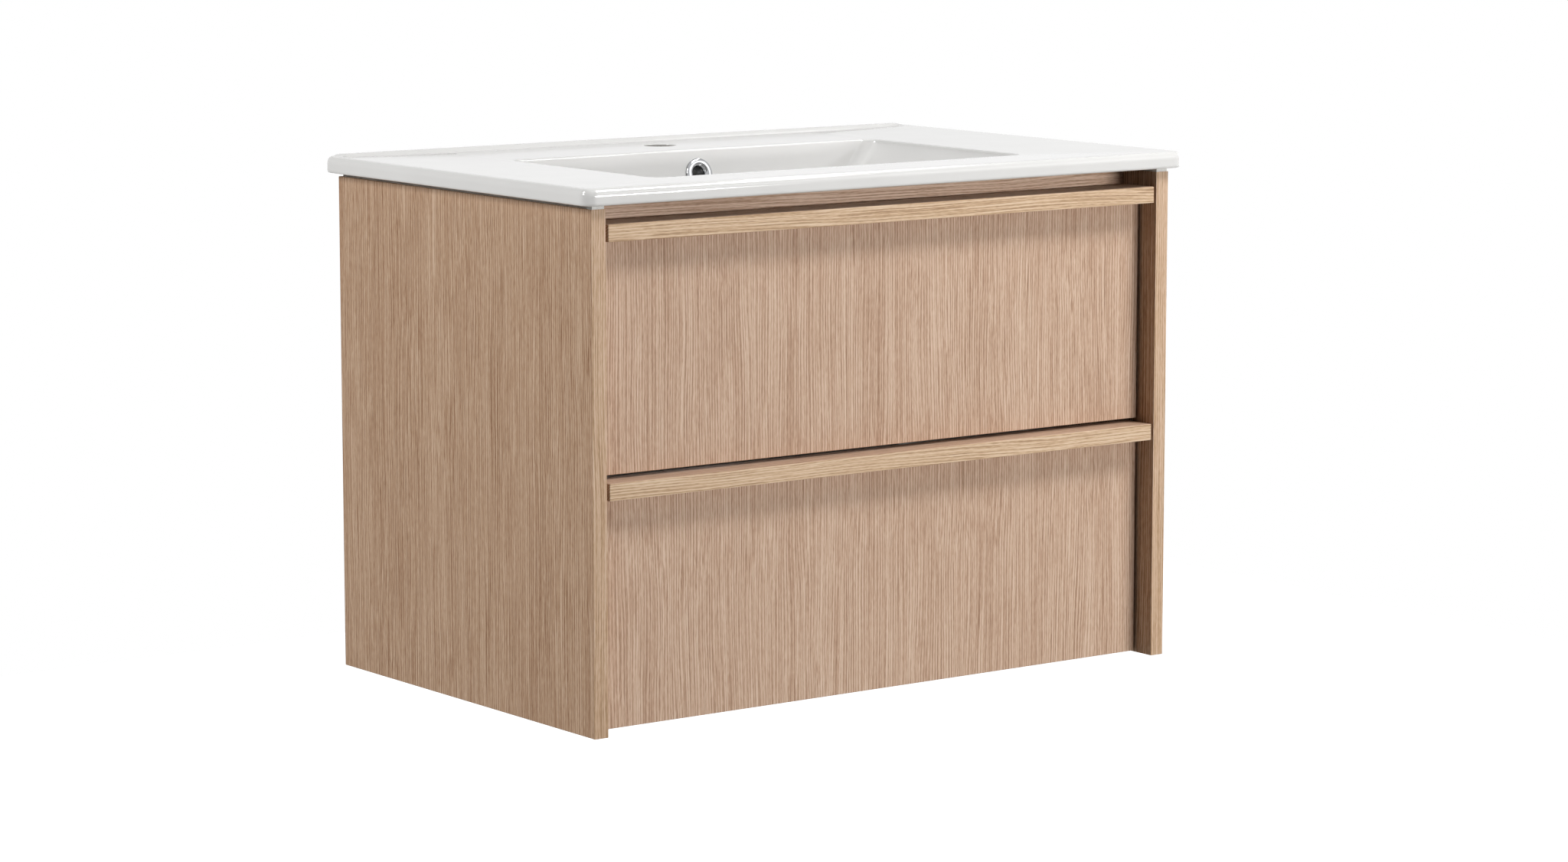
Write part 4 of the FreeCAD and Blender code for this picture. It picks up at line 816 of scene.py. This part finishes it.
# %% Screws and cams in place
for node, seats in FASTENERS.items():
    points = bpy.data.meshes.new(f"{node}_seats")
    points.from_pydata([spot for spot, out, length in seats], [], [])
    directions = points.attributes.new("facing", "FLOAT_VECTOR", "POINT")
    directions.data.foreach_set("vector", [part for spot, out, length in seats for part in out])
    holder = add_object(f"{node}_seats", points)
    one, finish = pattern(node, seats[0][2]), finish_of[slot_of[node]]
    work = holder.modifiers.new("set_fasteners", "NODES")
    work.node_group = setter
    for label, value in (("Pattern", one), ("Finish", finish), ("Turn", math.pi)):
        work[socket_of[label]] = value
    mesh = worked_mesh(holder, one)
    finish_piece(f"{node}_set", mesh, finish, [node])
    print(node, len(mesh.polygons), "faces")

# %% [markdown]
# Every CAD piece that still shows has the right shape already: folded rails, hanging bars, glides,
# bolts, dowels and sealing strip. They could be drawn again, but that would gain nothing, so they only get
# the finish of their slot.

# %% Finishes on the pieces kept from the CAD model
kept = [node for node, item in frame["nodes"].items() if not item.hide_render]
for node in kept:
    slots = frame["nodes"][node].data.materials
    slots.clear()
    slots.append(finish_of[slot_of[node]])
print("kept CAD pieces", len(kept))

# %% [markdown]
# The stage is a pale floor well below the cabinet, which hangs on a wall that isn't drawn. A white floor
# would throw light up into the cabinet, so this one is grey and glows a little for the camera, and for
# what metal mirrors. The glow is weaker near the middle, where the object's shadow falls, and rises
# outwards until the floor's edge melts into the white behind it.

# %% Floor
FLOOR_LEVEL, FLOOR_REACH = -1.3, 4.0
GLOW_NEAR, GLOW_FAR = (0.9, 0.5), (2.4, 1.0)  # distance from the middle in metres, strength


def background_rays(tree):
    """A socket that is 1 for rays that see the background: the camera's, and those off metal or in glass."""
    path = add_node(tree, "ShaderNodeLightPath").outputs
    seen = path["Is Camera Ray"]
    for kind in ("Is Glossy Ray", "Is Transmission Ray"):
        seen = add_node(tree, "ShaderNodeMath", {0: seen, 1: path[kind]}, operation="MAXIMUM").outputs[0]
    return seen


floor_sheet = bmesh.new()
bmesh.ops.create_grid(floor_sheet, x_segments=1, y_segments=1, size=FLOOR_REACH)
bmesh.ops.translate(floor_sheet, verts=floor_sheet.verts, vec=(0, 0, FLOOR_LEVEL))
floor = loose_object("studio_floor", floor_sheet)
pale, tree, shader, place = start_finish("studio_floor_matt_white")
level_part = add_node(tree, "ShaderNodeVectorMath", {0: place, 1: (1, 1, 0)}, operation="MULTIPLY")
distance = add_node(tree, "ShaderNodeVectorMath", {0: level_part.outputs[0]}, operation="LENGTH")
fade = add_node(tree, "ShaderNodeMapRange",
                {"Value": distance.outputs["Value"], "From Min": GLOW_NEAR[0], "From Max": GLOW_FAR[0],
                 "To Min": GLOW_NEAR[1], "To Max": GLOW_FAR[1]})
glow = add_node(tree, "ShaderNodeMath", {0: background_rays(tree), 1: fade.outputs["Result"]},
                operation="MULTIPLY")
set_inputs(tree, shader, {"Base Color": linear("#B4B4B3"), "Roughness": 0.9,
                          "Emission Color": linear("#FFFFFF"), "Emission Strength": glow.outputs[0]})
floor.data.materials.append(pale)
print("floor at", FLOOR_LEVEL)

# %% [markdown]
# Round the object the world is plain white to the camera, as in a catalogue picture, and that is also
# what metal mirrors. A white world that lit the object as well would flatten it. As light it is much
# weaker, so that the lamps can shape the object.

# %% World
AMBIENT = 0.02
world = bpy.data.worlds.new("studio_white")
bpy.context.scene.world = world
world.use_nodes = True
tree = world.node_tree
strength = add_node(tree, "ShaderNodeMapRange",
                    {"Value": background_rays(tree), "To Min": AMBIENT, "To Max": 1.0})
set_inputs(tree, tree.nodes["Background"],
           {"Color": linear("#FFFFFF"), "Strength": strength.outputs["Result"]})
bpy.context.scene.view_settings.view_transform = "Standard"
print("ambient", AMBIENT)

# %% [markdown]
# Six soft lamps, as round a studio table. A low flat one in front reaches the set-back rail under the
# basin. A high one gives each grip strip its soft shadow down the front below it. A wide one at the right
# draws the line of light on the basin's edge. One at the left lights the side panel, and stands far enough
# back that the cabinet keeps it out of the recess beside the fronts. A long one overhead, off to the
# right, draws the thin lines of light on the bowl's rim and the lip, and a weak one at the right rear shows
# the back. A single large lamp would light it too, but the strips would lose their shadows.

# %% Lamps
LAMPS = {
    # name: (place, aim, width, height, watts)
    "front_softbox": ((1.25, -3.7, 0.15), (0, -0.45, 0), 1.4, 0.25, 62),
    "edge_softbox": ((2.42, -3.6, 1.3), (0, -0.45, 0), 1.7, 1.2, 11),
    "high_softbox": ((1.1, -1.8, 1.9), (0, -0.45, 0), 0.7, 0.7, 45),
    "side_softbox": ((-3.1, 0.15, 1.5), (-0.3, -0.2, -0.1), 0.8, 1.6, 89),
    "overhead_softbox": ((1.9, -0.4, 2.6), (0, -0.25, 0), 2.0, 0.35, 18),
    "rear_softbox": ((3.2, 1.0, -0.2), (0, -0.1, -0.2), 1.0, 0.8, 30),
}
for name, (spot, aim, width, height, watts) in LAMPS.items():
    light = bpy.data.lights.new(name, "AREA")
    light.shape, light.size, light.size_y, light.energy = "RECTANGLE", width, height, watts
    lamp = add_object(name, light)
    lamp.location = spot
    lamp.rotation_euler = (Vector(aim) - Vector(spot)).to_track_quat("-Z", "Y").to_euler()
print("lamps", len(LAMPS))

# %% [markdown]
# The camera stands to the left of the cabinet's middle and a little above the deck, with a long lens, as
# a catalogue photographer would stand. Its place comes from matching the cabinet's corners. Shifting the
# lens would keep upright edges parallel, but every other view would keep that shift too, so the camera
# simply tilts down a little.

# %% Camera
LENS, SENSOR = 102.602, 36
CAMERA_PLACE, TILT_DOWN, TURN_RIGHT = (-2.72332, -3.96122, 0.45611), 8.1938, 36.5622
view = bpy.data.cameras.new("catalogue_view")
view.lens, view.sensor_width = LENS, SENSOR
view.clip_start, view.clip_end = 0.1, 100
camera = add_object("catalogue_camera", view)
camera.location = CAMERA_PLACE
camera.rotation_euler = (math.radians(90 - TILT_DOWN), 0, math.radians(-TURN_RIGHT))
bpy.context.scene.camera = camera
print("lens", round(view.lens, 1))
